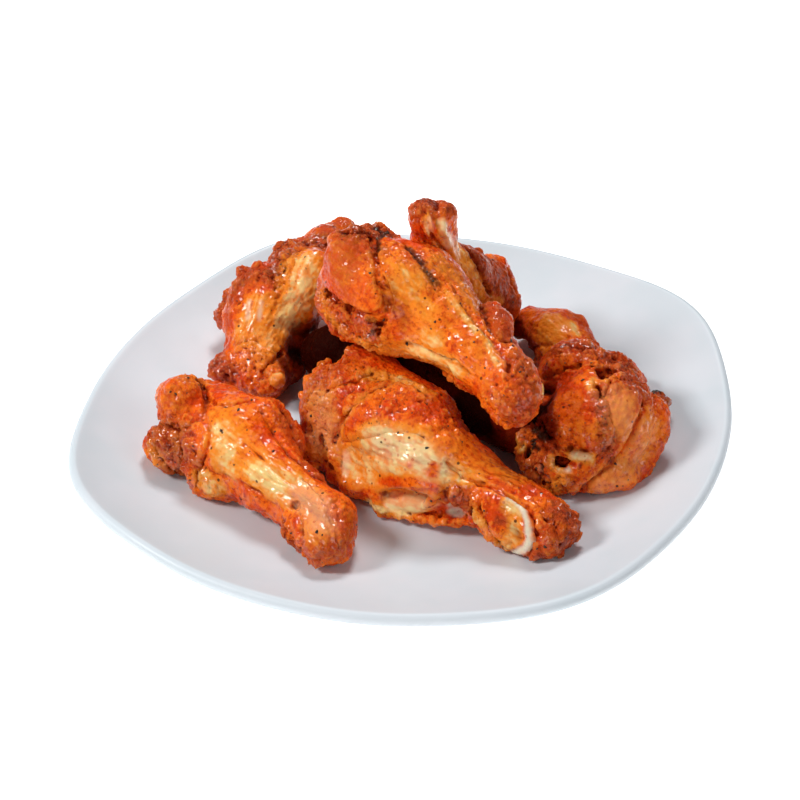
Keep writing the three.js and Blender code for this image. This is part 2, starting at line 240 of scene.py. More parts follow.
class Body:
    """A wing's solid as a grid of distances, which is carved and added to before it is meshed."""

    def __init__(self, node, voxel=VOXEL):
        corners, triangles = node_mesh(node)
        self.voxel = voxel
        self.tree = BVHTree.FromPolygons(corners.tolist(), triangles.tolist())
        self.middle = (corners.min(0) + corners.max(0)) / 2
        _, _, turns = np.linalg.svd(corners - corners.mean(0), full_matrices=False)
        self.grain = turns  # the wing's own directions, with that of its bone first
        self.transform = vdb.createLinearTransform(voxelSize=voxel)
        level = vdb.FloatGrid.createLevelSetFromPolygons(
            corners, triangles=triangles, transform=self.transform, halfWidth=BAND / voxel)
        self.low = np.floor((corners.min(0) - MARGIN) / voxel).astype(int)
        high = np.ceil((corners.max(0) + MARGIN) / voxel).astype(int)
        self.field = np.zeros(high - self.low + 1, np.float32)
        level.copyToArray(self.field, ijk=tuple(int(i) for i in self.low))
        self.field = blurred(self.field, ROUNDING / voxel) - np.float32(SWELL)

    def spot(self, x, y, depth=0.0):
        """The point of the surface under a pixel, or that far behind it, and the normal there."""
        line = sight(x, y)
        hit, normal, _, _ = self.tree.ray_cast(Vector(EYE), Vector(line))
        if hit is None:
            far = np.dot(self.middle - EYE, line)
            tries = [self.tree.find_nearest(Vector(EYE + line * (far + i))) for i in SEARCH]
            hit, normal, _, _ = min(tries, key=lambda found: found[3])
        return np.array(hit) + line * depth, np.array(normal)

    def path(self, pixels):
        """The points and normals along a line of pixels [x, y] or [x, y, depth]."""
        full = [tuple(p) + (0.0,) * (3 - len(p)) for p in pixels]
        dense = [full[0]]
        for start, end in zip(full, full[1:]):
            count = max(1, round(math.dist(start[:2], end[:2]) / PATH_STEP))
            dense += [tuple(s + (e - s) * i / count for s, e in zip(start, end))
                      for i in range(1, count + 1)]
        points, normals = zip(*(self.spot(*pixel) for pixel in dense))
        return np.array(points), np.array(normals)

    def limb(self, points, radii):
        """The part of the grid near a line of balls, and its distance from them."""
        reach = max(radii) + BAND
        low = np.maximum(np.floor((points.min(0) - reach) / self.voxel).astype(int) - self.low, 0)
        high = np.ceil((points.max(0) + reach) / self.voxel).astype(int) - self.low
        part = tuple(slice(a, b) for a, b in zip(low, np.minimum(high, self.field.shape)))
        axes = [(np.arange(s.start, s.stop) + self.low[i]) * self.voxel for i, s in enumerate(part)]
        x, y, z = np.meshgrid(*axes, indexing="ij")
        best = np.full(x.shape, BEYOND)
        ends = list(zip(points, radii))
        for (a, ra), (b, rb) in zip(ends, ends[1:] or ends):
            line = b - a
            length = max(float(line @ line), 1e-9)
            t = ((x - a[0]) * line[0] + (y - a[1]) * line[1] + (z - a[2]) * line[2]) / length
            t = np.clip(t, 0, 1)
            away = np.sqrt((x - a[0] - line[0] * t) ** 2 + (y - a[1] - line[1] * t) ** 2
                           + (z - a[2] - line[2] * t) ** 2)
            best = np.minimum(best, away - ra - (rb - ra) * t)
        return part, best

    def shape(self, action, radii, blend, pixels):
        """Adds ("add") or carves ("cut") a limb along a path that tapers from one radius to another."""
        points, _ = self.path(pixels)
        part, limb = self.limb(points, list(np.linspace(radii[0], radii[-1], len(points))))
        sign = 1 if action == "add" else -1
        old = sign * self.field[part]
        near = np.maximum(blend - np.abs(old - limb), 0) / blend
        self.field[part] = sign * (np.minimum(old, limb) - near * near * blend / 4)

    def net(self):
        """The surface as points and quads."""
        grid = vdb.FloatGrid(BAND)
        grid.copyFromArray(self.field, ijk=tuple(int(i) for i in self.low))
        grid.transform = self.transform
        points, quads = grid.convertToQuads(isovalue=0.0)
        points = points.astype(float)
        normals = corner_normals(points, quads)
        outward = np.sum(normals * (points - points.mean(0))) > 0
        return points, quads if outward else quads[:, ::-1]


# ---- strokes ------------------------------------------------------------------------------------
# A stroke follows a line of pixels across a wing. Widths and heights are in millimetres.

# One of these layers is painted shade: it darkens the colour in creases, grooves and holes, and where other
# wings shade the skin.
LAYERS = ("brown", "crumb", "gold", "char", "bone", "hollow", "gloss")


def add(radii, *pixels, blend=1.5):
    return ("body", "add", radii, blend, pixels)


def cut(radii, *pixels, blend=1.2):
    return ("body", "cut", radii, blend, pixels)


def groove(width, depth, *pixels):
    return ("relief", "groove", width, -depth, pixels)


def ridge(width, height, *pixels):
    return ("relief", "groove", width, height, pixels)


def lump(width, height, *pixels):
    return ("relief", "lump", width, height, pixels)


def flap(width, height, *pixels):
    """A sheet of skin whose edge is the line: raised on the line's left, seen from outside."""
    return ("relief", "flap", width, height, pixels)


def wrinkles(width, height, *pixels):
    return ("relief", "wrinkles", width, height, pixels)


def painter(layer):
    """A stroke that brings one of the colour's layers to an amount."""
    return lambda width, amount, *pixels: ("paint", layer, width, amount, pixels)


brown, crumb, gold, char, bone, hollow, gloss = map(painter, LAYERS)


def knobs(radius, depth, *pixels):
    """Crumbs and knobs, each a ball of its own."""
    return [add((radius,), (*pixel, depth), blend=0.8) for pixel in pixels]


def crease(radius, *pixels):
    """A sharp fold, darkened along its bottom with painted shade."""
    carved = tuple((*pixel, 0.3 * radius) for pixel in pixels)
    return [cut((radius, radius * 0.7), *carved, blend=radius * 0.8),
            hollow(radius * 0.75, 0.9, *pixels)]


def hole(radius, *pixels):
    """A hole that goes three times its radius deep, darkened inside with painted shade."""
    def behind(depth):
        return [(*pixel, depth * radius) for pixel in pixels]
    return [cut((radius, radius), *behind(depth)) for depth in (0.3, 1.4, 2.4)] + [
        hollow(radius, 1.6, *behind(2))]


# ---- a wing's skin ------------------------------------------------------------------------------

RELIEF_REACH = 2.6  # how far a stroke is worked out, in its widths
PAINT_REACH = 2.1
PAINT_EDGE = (1.65, 0.3)  # where a stroke of colour begins and is full, in its widths
WRINKLE_PITCH = 1.9
FACING = 1.5  # how soon a stroke fades where the skin turns away from it
BIG_CRUMB, SMALL_CRUMB, PORE, FOLD, CRINKLE, SHEET = 2.6, 1.3, 1.1, 3.1, 4.6, 7.5  # pitches
CRUMB_RADIUS = 0.55  # in pitches
SHEET_STEPS = ((-0.04, 0.04, 0.55), (0.36, 0.42, 0.4))  # the edges of loose sheets, and their height
SHEET_DROP = 0.4
STREAK_STRETCH = (0.16, 1, 1)  # streaks run along the bone
STREAKS, FINE_STREAKS = 1.5, 0.8
FINE_ROUNDS, BROAD_ROUNDS = 3, 14
# The most crumb and the most painted shade a point may hold; then the painted shade at a groove's bottom.
MOST_CRUMB, MOST_HOLLOW = 1.3, 2
GROOVE_DARKNESS = 0.5


class Skin:
    """A wing's surface while its relief and the layers of its colour are made."""

    def __init__(self, body, seed):
        self.body = body
        self.seed = seed
        self.points, self.quads = body.net()
        self.normals = corner_normals(self.points, self.quads)
        self.layers = {layer: np.zeros(len(self.points)) for layer in LAYERS}

    def near(self, pixels, reach):
        """The points within reach of a path: which they are, and how far off, to its left and along it."""
        path, normals = self.body.path(pixels)
        inside = np.all((self.points > path.min(0) - reach) & (self.points < path.max(0) + reach), 1)
        which = np.flatnonzero(inside)
        here = self.points[which]
        best = np.full(len(which), BEYOND)
        left, along, facing = np.zeros((3, len(which)))
        passed = 0.0
        starts, ends = (path, path) if len(path) == 1 else (path[:-1], path[1:])
        for i, (start, end) in enumerate(zip(starts, ends)):
            line = end - start
            length = np.linalg.norm(line)
            t = np.clip((here - start) @ line / max(float(line @ line), 1e-9), 0, 1)
            away = here - start - t[:, None] * line
            far = np.linalg.norm(away, axis=1)
            closer = far < best
            best = np.where(closer, far, best)
            left = np.where(closer, away @ np.cross(normals[i], line / max(length, 1e-9)), left)
            along = np.where(closer, passed + t * length, along)
            facing = np.where(closer, self.normals[which] @ normals[i], facing)
            passed += length
        kept = np.clip(1 + FACING * facing, 0, 1)
        close = (best < reach) & (kept > 0)
        return which[close], best[close], left[close], along[close], kept[close]

    def ragged(self, which, width):
        """A wandering of a stroke's edge."""
        here = self.points[which]
        return width * (0.28 * waves(here, width * 1.3 + 1, self.seed) + 0.14 * waves(here, 1.4, 5))

    def relief(self, kind, width, height, pixels):
        """Raises or sinks the skin along a path."""
        which, far, left, along, kept = self.near(pixels, width * RELIEF_REACH)
        here = self.points[which]
        if kind == "groove":
            shift = (0.25 + 0.3 * width) * waves(here, 4.5, self.seed + 12)
            far = np.sqrt(np.maximum(far ** 2 - left ** 2, 0) + (left + shift) ** 2)
            far = far + 0.12 * width * waves(here, 1.6, 5)
            form = np.exp(-(far / width) ** 2) * (0.8 + 0.45 * waves(here, 6, self.seed + 13))
        elif kind == "lump":
            far = np.maximum(far + 0.5 * self.ragged(which, width), 0)
            form = np.sqrt(np.clip(1 - (far / width) ** 2, 0, 1))
        elif kind == "flap":
            edge = smooth(-0.3, 0.3, left + 0.5 * self.ragged(which, min(width, 3)))
            form = edge * np.exp(-(far / width) ** 2)
        else:
            drawn = np.stack([left + 0.8 * waves(here, 9, self.seed + 3), along * 0.13,
                              np.zeros(len(left))], 1)
            form = 1 - 2.2 * np.abs(waves(drawn, WRINKLE_PITCH, self.seed + 4))
            form = np.exp(-(far / width) ** 2) * form
        move = height * form * kept
        self.points[which] += self.normals[which] * move[:, None]
        # A sunk groove gets painted shade along its bottom.
        if kind == "groove" and height < 0:
            self.layers["hollow"][which] += GROOVE_DARKNESS * form ** 2 * kept * min(1, -height)

    def paint(self, layer, width, amount, pixels):
        """Brings a layer to an amount along a path."""
        which, far, _, _, kept = self.near(pixels, width * PAINT_REACH)
        form = smooth(*PAINT_EDGE, (far + 1.2 * self.ragged(which, width)) / width) * kept
        old = self.layers[layer][which]
        self.layers[layer][which] = old + (amount - old) * form

    def renew(self):
        self.normals = corner_normals(self.points, self.quads)

    def bake(self, lay):
        """The base colours of a wing before it is painted: browner where the oven reached it, and the
        painted shade that it starts from.
        """
        p = self.points
        self.layers["brown"][:] = smooth(-0.1, 0.8, waves(p, 19, self.seed) + 0.25 * waves(p, 6, 2))
        self.layers["brown"] *= lay["brown"]
        self.layers["crumb"][:] = 0.25 + 0.6 * smooth(-0.2, 0.7, waves(p, 17, self.seed + 20))
        self.layers["gold"][:] = smooth(0.0, 0.75, waves(p, 21, self.seed + 40) - 0.1) * lay["gold"]
        # Painted shade that the whole wing starts from, for a wing that others shade.
        self.layers["hollow"][:] = lay.get("hollow", 0.0)
        self.layers["gloss"][:] = lay.get("gloss", 0.0)

    def stands_in(self, rounds):
        """How far each point is under the skin round it: above 0 where it sinks, below 0 where it stands
        out.
        """
        return np.sum((levelled(self.points, self.quads, rounds) - self.points) * self.normals, 1)

    def crisp(self):
        """The crumbs, pores and crinkles of the skin, with painted shade where it sinks and painted
        highlights where it stands out.
        """
        p, seed, layers = self.points, self.seed, self.layers
        layers["crumb"] = np.clip(layers["crumb"], 0, MOST_CRUMB)
        layers["bone"] = np.clip(layers["bone"], 0, 1)
        crumb = layers["crumb"] * (1 - layers["bone"])
        calm = 1 - 0.75 * layers["bone"]
        bent = p + 0.6 * drift(p, 2.2, 61)
        near_big, which_big = grains(bent, BIG_CRUMB, seed + 1)
        near_small, which_small = grains(bent, SMALL_CRUMB, seed + 2)
        crinkle = 1 - np.abs(waves(bent, CRINKLE, seed + 6)) * 2
        folded = 1 - np.abs(waves(bent, FOLD, seed + 10)) * 2
        patchy = smooth(-0.5, 0.5, waves(p, 5, seed + 11))
        raised = JITTERS[which_big, 0] ** 2 * patchy
        crumbs = raised * np.sqrt(np.clip(1 - (near_big / CRUMB_RADIUS) ** 2, 0, 1))
        crumbs = crumbs + 0.45 * JITTERS[which_small, 1] ** 2 * smooth(0.5, 0.2, near_small)
        crumbs = crumbs + 0.30 * folded + 0.75 * rough(p, 3.2, seed + 9)
        sheets = rough(bent, SHEET, seed + 18)
        for low, high, rise in SHEET_STEPS:
            crumbs = crumbs + rise * smooth(low, high, sheets)
        crumbs = crumbs - SHEET_DROP
        drawn = (p @ self.body.grain.T) * STREAK_STRETCH
        drawn = drawn + 0.5 * drift(p, 6, 71)
        streak = waves(drawn, STREAKS, seed + 14) + 0.6 * waves(drawn, FINE_STREAKS, seed + 15)
        calm_skin = np.clip(1 - 1.3 * crumb, 0, 1) * calm
        swell = 0.42 * waves(p, 9, seed + 7) + 0.20 * crinkle * calm
        pores = 0.15 * (0.6 - grains(p, PORE, seed + 8)[0]) * calm
        height = swell * calm + crumb * crumbs + pores + 0.20 * streak * calm_skin
        self.points = p + self.normals * height[:, None]
        self.renew()
        blotch = waves(self.points, 3.2, seed + 16) + 0.6 * waves(self.points, 1.4, seed + 17)
        fine, broad = self.stands_in(FINE_ROUNDS), self.stands_in(BROAD_ROUNDS)
        # Painted shade in the skin's creases and between its crumbs, and painted highlights on what stands
        # out.
        deep = smooth(0.03, 0.26, fine) * 0.4 + smooth(0.08, 0.6, broad) * 0.6
        layers["hollow"] = np.clip(layers["hollow"] + deep * np.clip(0.3 + crumb, 0, 1), 0, MOST_HOLLOW)
        layers["peak"] = smooth(-0.02, -0.2, fine) * 0.5 + smooth(-0.05, -0.5, broad) * 0.5
        layers["gold"] = layers["gold"] * (0.86 + 0.28 * streak + 0.20 * blotch)
        layers["brown"] = layers["brown"] + 0.12 * blotch * (layers["brown"] > 0.05)
        for layer in ("brown", "gold", "char"):
            layers[layer] = np.clip(layers[layer], 0, 1)


# ---- what the photograph shows on each wing -----------------------------------------------------
# A wing has a seed, the amounts that its base colours start from, and its named strokes in order.

WINGS = {}


def wing(node, base, /, **strokes):
    """Lists a wing's base and its strokes."""
    WINGS[node] = (base, strokes)


# Painted shade: this wing lies deep in the heap, so its skin starts fully browned and darkened, and these
# strokes darken it nearly black where the heap shades it, lighter at its lit end.
wing(
    "wing_under", dict(seed=11, voxel=0.7, brown=1.0, gold=0.0, hollow=1.3, gloss=-1.0),
    darkness=hollow(10, 2.0, (312, 335), (322, 345), (342, 345)),
    inner_end=add((9.5, 9), (322, 348, 4), (338, 350, 2), blend=3),
    inner_lobes=knobs(3.2, 2.0, (314, 338), (330, 330), (342, 346)),
    dark_gap=hollow(8, 1.5, (405, 362), (430, 385), (450, 400)),
    dark_pit=hollow(6, 2.0, (462, 425), (474, 415), (486, 418)),
    lit_end=hollow(4, 0.5, (502, 419)),
    dark_end=hollow(4, 1.2, (506, 440), (518, 452)),
)
wing(
    "wing_left", dict(seed=23, brown=0.6, gold=0.4),
    smooth_ball=crumb(9, 0.15, (180, 405)),
    veil=bone(4.0, 0.2, (302, 496), (318, 504), (322, 522)),
    wet_knuckle=gloss(6, 0.8, (305, 498), (320, 515), (318, 540)),
    dry_body=gloss(8, -0.4, (250, 425), (268, 446)),
    dry_ball=gloss(6, -0.4, (182, 400)),
    wet_clump=gloss(7, 0.7, (172, 444), (192, 450)),
    wet_stretch=gloss(4, 0.8, (272, 482), (292, 492), (312, 500)),
    ball_crease=crease(1.6, (156, 421), (166, 427), (177, 430), (189, 429), (198, 422), (205, 411),
        (207, 400), (204, 388), (199, 381)),
    clump_knobs=knobs(2.6, 1.6, (165, 444), (176, 437), (186, 450), (196, 445), (176, 458), (188, 463)),
    small_knobs=knobs(1.3, 0.8, (160, 450), (170, 433), (181, 444), (193, 455), (184, 472), (192, 480),
        (170, 466), (200, 470), (163, 438)),
    clump_edge=crease(1.2, (205, 418), (211, 432), (209, 447), (204, 460), (198, 472), (196, 486)),
    lobe_crease=crease(1.0, (157, 432), (157, 446), (164, 460), (176, 472)),
    knob_crease=crease(0.9, (181, 436), (180, 450), (186, 458)),
    collar=crease(0.9, (250, 402), (232, 406), (216, 405), (209, 398)),
    shoulder=lump(6, 0.9, (226, 393), (240, 398)),
    glossy_stretch=wrinkles(4, 0.5, (272, 482), (290, 490), (308, 500)),
    bright_line=ridge(0.7, 0.6, (249, 441), (258, 451), (268, 461), (282, 472), (300, 482)),
    hole=hole(0.7, (294, 507), (297, 505)),
    # A dark vein line, painted with the same dark red as the painted shade.
    vein=hollow(1.6, 0.35, (303, 500), (309, 505), (318, 514), (328, 520)),
    under_crumbs=knobs(1.4, 0.8, (286, 522), (289, 530), (292, 538), (284, 515)),
    spike=add((1.0, 0.5), (223, 500, 1), (225, 506, 1)),
    ball_crumbs=crumb(3, 0.6, (174, 392), (190, 388)),
    # Painted sheen: a lighter gold patch on the ball's upper left, where the light falls.
    ball_glow=gold(2.4, 0.22, (165, 405), (178, 398)),
    ball=lump(7.5, 0.8, (180, 403)),
    clump=lump(8, 1.6, (170, 444), (190, 440), (192, 452)),
    lobe_edge=groove(1.0, 0.9, (160, 430), (158, 445), (163, 462), (178, 474)),
    back_roll=groove(1.3, 1.4, (262, 412), (274, 434), (290, 455), (308, 470), (332, 488)),
    back_roll_side=groove(0.9, 0.7, (280, 405), (290, 425), (297, 445), (306, 462)),
    stretch=wrinkles(8, 0.42, (236, 446), (262, 468), (288, 484), (306, 502), (318, 530)),
    stretch_line=ridge(0.8, 0.5, (248, 436), (262, 452), (282, 464), (300, 478)),
    stretch_fold=groove(0.8, 0.8, (246, 444), (266, 462), (290, 478), (318, 486)),
    belly_fold=groove(1.0, 0.9, (206, 468), (226, 476), (250, 488), (276, 503)),
    knuckle_fold=groove(1.0, 1.0, (292, 497), (300, 515), (303, 535), (300, 552)),
    knuckle_side=groove(0.9, 0.6, (322, 500), (331, 520), (338, 545)),
    knuckle_hole=groove(0.9, 1.3, (293, 507), (300, 505)),
    brown_clump=brown(8, 0.62, (170, 440), (188, 438), (195, 452), (178, 462)),
    rough_clump=crumb(8, 1.15, (165, 440), (190, 440), (190, 468)),
    brown_ball=brown(9, 0.52, (180, 403)),
    lobe=gold(3, 0.45, (152, 448), (160, 458)),
    smooth_body=crumb(12, 0.06, (225, 425), (250, 455), (290, 485)),
    not_brown=brown(13, 0.0, (225, 425), (250, 455), (300, 500)),
    light_body=gold(8, 0.45, (222, 415), (245, 455), (280, 480)),
    pale_shoulder=gold(4.5, 0.9, (218, 436), (226, 446), (229, 464)),
    pale_stretch=gold(4.2, 0.95, (256, 472), (276, 484), (298, 492), (312, 496)),
    pale_belly=gold(3.4, 0.8, (203, 478), (216, 488)),
    orange_back=gold(4, 0.1, (262, 424), (285, 452)),
    red_back=brown(3.4, 0.55, (286, 418), (300, 452), (325, 484)),
    rough_back=crumb(4, 0.6, (276, 405), (295, 440), (325, 482)),
    rough_knuckle=crumb(7, 0.6, (316, 545), (340, 540)),
    smooth_knuckle=crumb(5, 0.12, (306, 500), (320, 512), (322, 528)),
    brown_knuckle=brown(6, 0.5, (312, 555), (340, 545), (345, 525)),
    pale_knuckle=gold(5, 0.5, (302, 500), (314, 506), (316, 528)),
    rough_under=crumb(3, 1.0, (288, 522), (293, 545), (310, 562)),
    brown_under=brown(2.2, 0.7, (287, 525), (294, 550)),
)
wing(
    "wing_front", dict(seed=37, brown=0.5, gold=0.35),
    # Shallow pits, not a way through: their floors are painted pale below as painted light, standing in for
    # the lit plate seen through a gap.
    gap=cut((2.6, 2.6), (453, 509, -2), (455, 510, 1.5)),
    gap_low=cut((1.5, 1.5), (447, 514, -2), (449, 514, 1.5)),
    gap_end=cut((1.8, 1.8), (461, 514, -2), (462, 514, 1.5)),
    # Painted light: the head's lower left side lightened as though lit.
    light_side=gold(4.5, 0.45, (326, 424), (330, 440), (322, 410)),
    head_rim=knobs(1.4, 1.0, (299, 394), (301, 430), (314, 366), (372, 351)),
    cup_slit=groove(0.6, 0.8, (496, 518), (503, 522), (510, 524)),
    end_knobs=knobs(1.3, 0.6, (575, 515), (576, 535), (561, 553), (534, 557)),
    cup_rim_white=bone(0.7, 1.0, (508, 500), (517, 504), (524, 513), (527, 522), (528, 530)),
    cup_rim_low=bone(1.0, 1.0, (528, 531), (529, 540), (525, 548), (515, 551)),
    cavity_shadow=hollow(1.3, 1.1, (386, 493, 2), (396, 490, 2), (410, 488, 2), (425, 490, 2),
        (437, 495, 2)),
    wet_window=gloss(8, 0.5, (370, 450), (405, 460), (445, 475)),
    window_lines=wrinkles(6, 0.35, (360, 448), (395, 458), (440, 470)),
    wet_head=gloss(9, 0.5, (312, 382), (325, 402), (328, 430), (318, 456)),
    head_corner=add((2.2, 0.7), (308, 381, 2), (297, 377, 2)),
    head_flap=add((1.8, 1.2), (324, 368, 3), (320, 360, 2), (322, 353, 2), blend=1),
    head_peak=add((3.0, 1.2), (352, 358, 4), (358, 346, 3), blend=2),
    head_notch=cut((2.6, 2.6), (330, 358, 0), (341, 359, 0), blend=2),
    head_lobe=add((4.8, 4.2), (314, 445, 2.6), (314, 460, 2.6), blend=1.5),
    low_corner=add((3.6, 3.6), (350, 484, 2), (362, 488, 2), blend=2),
    shoulder=lump(11, 1.6, (372, 418), (392, 408), (412, 408)),
    shoulder_crease=crease(1.3, (336, 441), (341, 426), (352, 412), (364, 402), (378, 393), (396, 387),
        (412, 390), (424, 398)),
    top_crease=crease(1.0, (328, 392), (344, 384), (358, 382), (372, 374)),
    head_crease=crease(1.2, (323, 436), (326, 448), (325, 460), (331, 468)),
    head_hole=hole(1.3, (320, 474), (330, 476)),
    small_lobe=add((2.2, 2.0), (330, 482, 1), (337, 485, 1), blend=1),
    window_step=crease(0.8, (345, 441), (360, 439), (376, 437), (392, 432), (408, 433), (424, 438)),
    window_rim=ridge(1.6, 0.8, (346, 436), (360, 433), (378, 431), (394, 426), (410, 427), (428, 431)),
    window_dent=groove(5.0, 0.6, (388, 450), (408, 458), (424, 464)),
    cavity=cut((3.2, 3.6), (389, 497, 0.6), (410, 497, 0.6), (430, 502, 0.6)),
    cavity_low=cut((2.4, 3.0), (392, 503, 0.6), (410, 508, 0.6), (440, 512, 0.6)),
    cavity_bone=add((4.2, 3.6), (388, 504, 6.2), (412, 501, 6.2), (436, 499, 6.6), blend=0.5),
    hanging_blob=add((1.9, 1.5), (436, 488, 0.6), (433, 496, 0.6), (430, 503, 1), blend=1),
    second_blob=add((2.2, 1.8), (456, 490, 0.8), (457, 498, 1), blend=1),
    ridge_crease=crease(1.0, (446, 462), (462, 475), (480, 484), (497, 491), (512, 500), (526, 508)),
    cup_crease=crease(0.8, (528, 506), (534, 520), (536, 536), (531, 551)),
    knuckle_crease=crease(1.0, (480, 506), (486, 522), (494, 537), (506, 549)),
    membrane_fold=crease(0.8, (470, 500), (473, 514), (478, 528)),
    strand=add((1.1, 0.7), (398, 515, 1.0), (420, 519, 1.0), (440, 521, 1.0), (458, 522, 1.0),
        blend=0.8),
    strand_end=add((0.7, 1.2), (458, 522, 1.0), (476, 521, 1.0), blend=0.8),
    strand_link=add((1.2, 0.9), (437, 489, 0.2), (430, 500, 0.2), (424, 507, 0.6), blend=0.8),
    tip=add((1.6, 0.5), (570, 528, 1.0), (580, 526, 1.0)),
    neck_crease=groove(1.0, 0.8, (343, 450), (342, 468), (346, 486)),
    cushion=lump(6.5, 0.8, (358, 470), (376, 478)),
    skirt_edge=ridge(1.3, 0.7, (352, 486), (372, 490), (390, 486), (410, 484), (436, 484), (456, 479)),
    tendons=wrinkles(5.5, 0.5, (432, 462), (455, 474), (482, 478), (512, 486)),
    under_ridge=groove(0.9, 0.8, (470, 487), (484, 482), (500, 484), (514, 492)),
    cup=groove(3.4, 1.2, (502, 514), (510, 524), (514, 538)),
    cup_rim=ridge(0.95, 0.95, (506, 500), (517, 504), (525, 514), (529, 527), (531, 540), (526, 550),
        (514, 551)),
    knuckle_flap=flap(3.5, 0.9, (502, 548), (492, 534), (486, 520), (488, 508)),
    tip_crease=groove(1.0, 0.8, (545, 520), (556, 528), (560, 545)),
    rough_head=crumb(9, 0.95, (318, 388), (312, 420), (318, 452)),
    rough_top=crumb(9, 0.75, (345, 365), (375, 380), (405, 405), (435, 410)),
    brown_head=brown(5.5, 0.5, (312, 385), (303, 408), (303, 425)),
    # Painted light: the lobe lightened as though lit.
    lit_lobe=gold(3.6, 0.35, (316, 446), (316, 460)),
    brown_top=brown(5, 0.45, (330, 372), (350, 358), (368, 352)),
    red_top=brown(4.5, 0.4, (405, 402), (430, 405), (445, 418)),
    orange_shoulder=brown(6, 0.0, (350, 425), (378, 410), (400, 420)),
    light_head=gold(3.2, 0.5, (328, 398), (316, 416)),
    light_top=gold(2.6, 0.7, (372, 376), (390, 378), (400, 382)),
    pale_top=gold(2.0, 0.85, (400, 382), (414, 388), (430, 394)),
    light_step=gold(2.0, 0.5, (342, 428), (352, 412), (364, 400)),
    light_spot=gold(2.4, 0.65, (380, 422), (384, 428)),
    smooth_window=crumb(9, 0.03, (360, 462), (400, 452), (430, 466), (470, 470)),
    not_brown=brown(11, 0.0, (360, 465), (410, 455), (470, 465), (510, 485)),
    gold_window=gold(9.5, 0.5, (358, 460), (400, 456), (435, 462)),
    cream_window=gold(5.6, 1.0, (376, 440), (398, 446), (420, 462), (434, 472)),
    cream_edge=gold(2.2, 1.0, (347, 455), (347, 472)),
    # Painted light: the head's left side lightened as though lit, with a pale pink painted sheen.
    lighter_head=gold(7, 0.52, (322, 404), (326, 430), (334, 448)),
    pink_head=bone(6, 0.13, (322, 412), (327, 434)),
    wide_window=gold(4.5, 0.9, (360, 462), (372, 472), (400, 474)),
    pale_tendons=gold(2.8, 0.95, (440, 468), (462, 476), (480, 477)),
    light_ridge=gold(5, 0.35, (448, 440), (478, 458), (505, 478)),
    cream_low=gold(3.0, 0.95, (386, 462), (400, 472), (420, 476)),
    white_window=bone(4.6, 0.26, (380, 442), (402, 451), (422, 460), (436, 468)),
    plain_side=bone(3.0, 0.0, (446, 486), (462, 492)),
    plain_skirt=bone(2.4, 0.0, (386, 483), (432, 488)),
    red_skirt=gold(2.4, 0.1, (386, 482), (410, 483), (434, 487)),
    white_edge=bone(1.8, 0.4, (348, 456), (348, 472)),
    orange_spot=gold(1.2, 0.2, (410, 465)),
    red_spot=gold(1.6, 0.0, (434, 467), (432, 473)),
    plain_spot=bone(1.6, 0.0, (434, 467), (432, 473)),
    cavity_smooth=crumb(4.0, 0.0, (394, 500, 3), (430, 500, 3)),
    cavity_light=bone(2.6, 0.28, (396, 503, 3), (414, 502, 3), (430, 501, 3)),
    cavity_warm=gold(2.6, 0.6, (400, 503, 3), (428, 502, 3)),
    cavity_bone_pale=gold(3.6, 0.75, (392, 504, 3), (412, 501, 3), (432, 498, 3)),
    membrane=gold(1.8, 1.0, (366, 499, 0.5), (384, 508, 0.5), (404, 513, 1), (424, 506, 2)),
    # Painted light: pale floors for the gap's pits, standing in for the lit plate seen through it.
    pale_gap=bone(1.3, 1.0, (451, 506, 3), (459, 510, 3)),
    pale_gap_low=bone(1.2, 1.0, (452, 511, 3), (461, 513, 3)),
    rough_strand=crumb(2.4, 0.8, (400, 518, 1), (452, 519, 1)),
    red_side=brown(3.4, 0.6, (458, 492), (464, 502), (452, 500)),
    rough_side=crumb(3.4, 1.0, (445, 492), (470, 502)),
    cup_tissue=gold(2.8, 0.8, (508, 503), (516, 512), (514, 538), (505, 545)),
    cup_dark=brown(1.6, 0.8, (498, 520), (507, 523)),
    pale_flap=gold(1.8, 0.8, (474, 512), (482, 522)),
    brown_tip=brown(5, 0.85, (563, 512), (576, 524), (568, 545)),
    brown_bottom=brown(3.4, 0.75, (525, 556), (545, 556), (562, 548)),
    rough_tip=crumb(7, 0.9, (560, 515), (572, 530), (548, 552)),
    pink_tissue=brown(2.6, 0.5, (546, 530), (550, 542)),
)
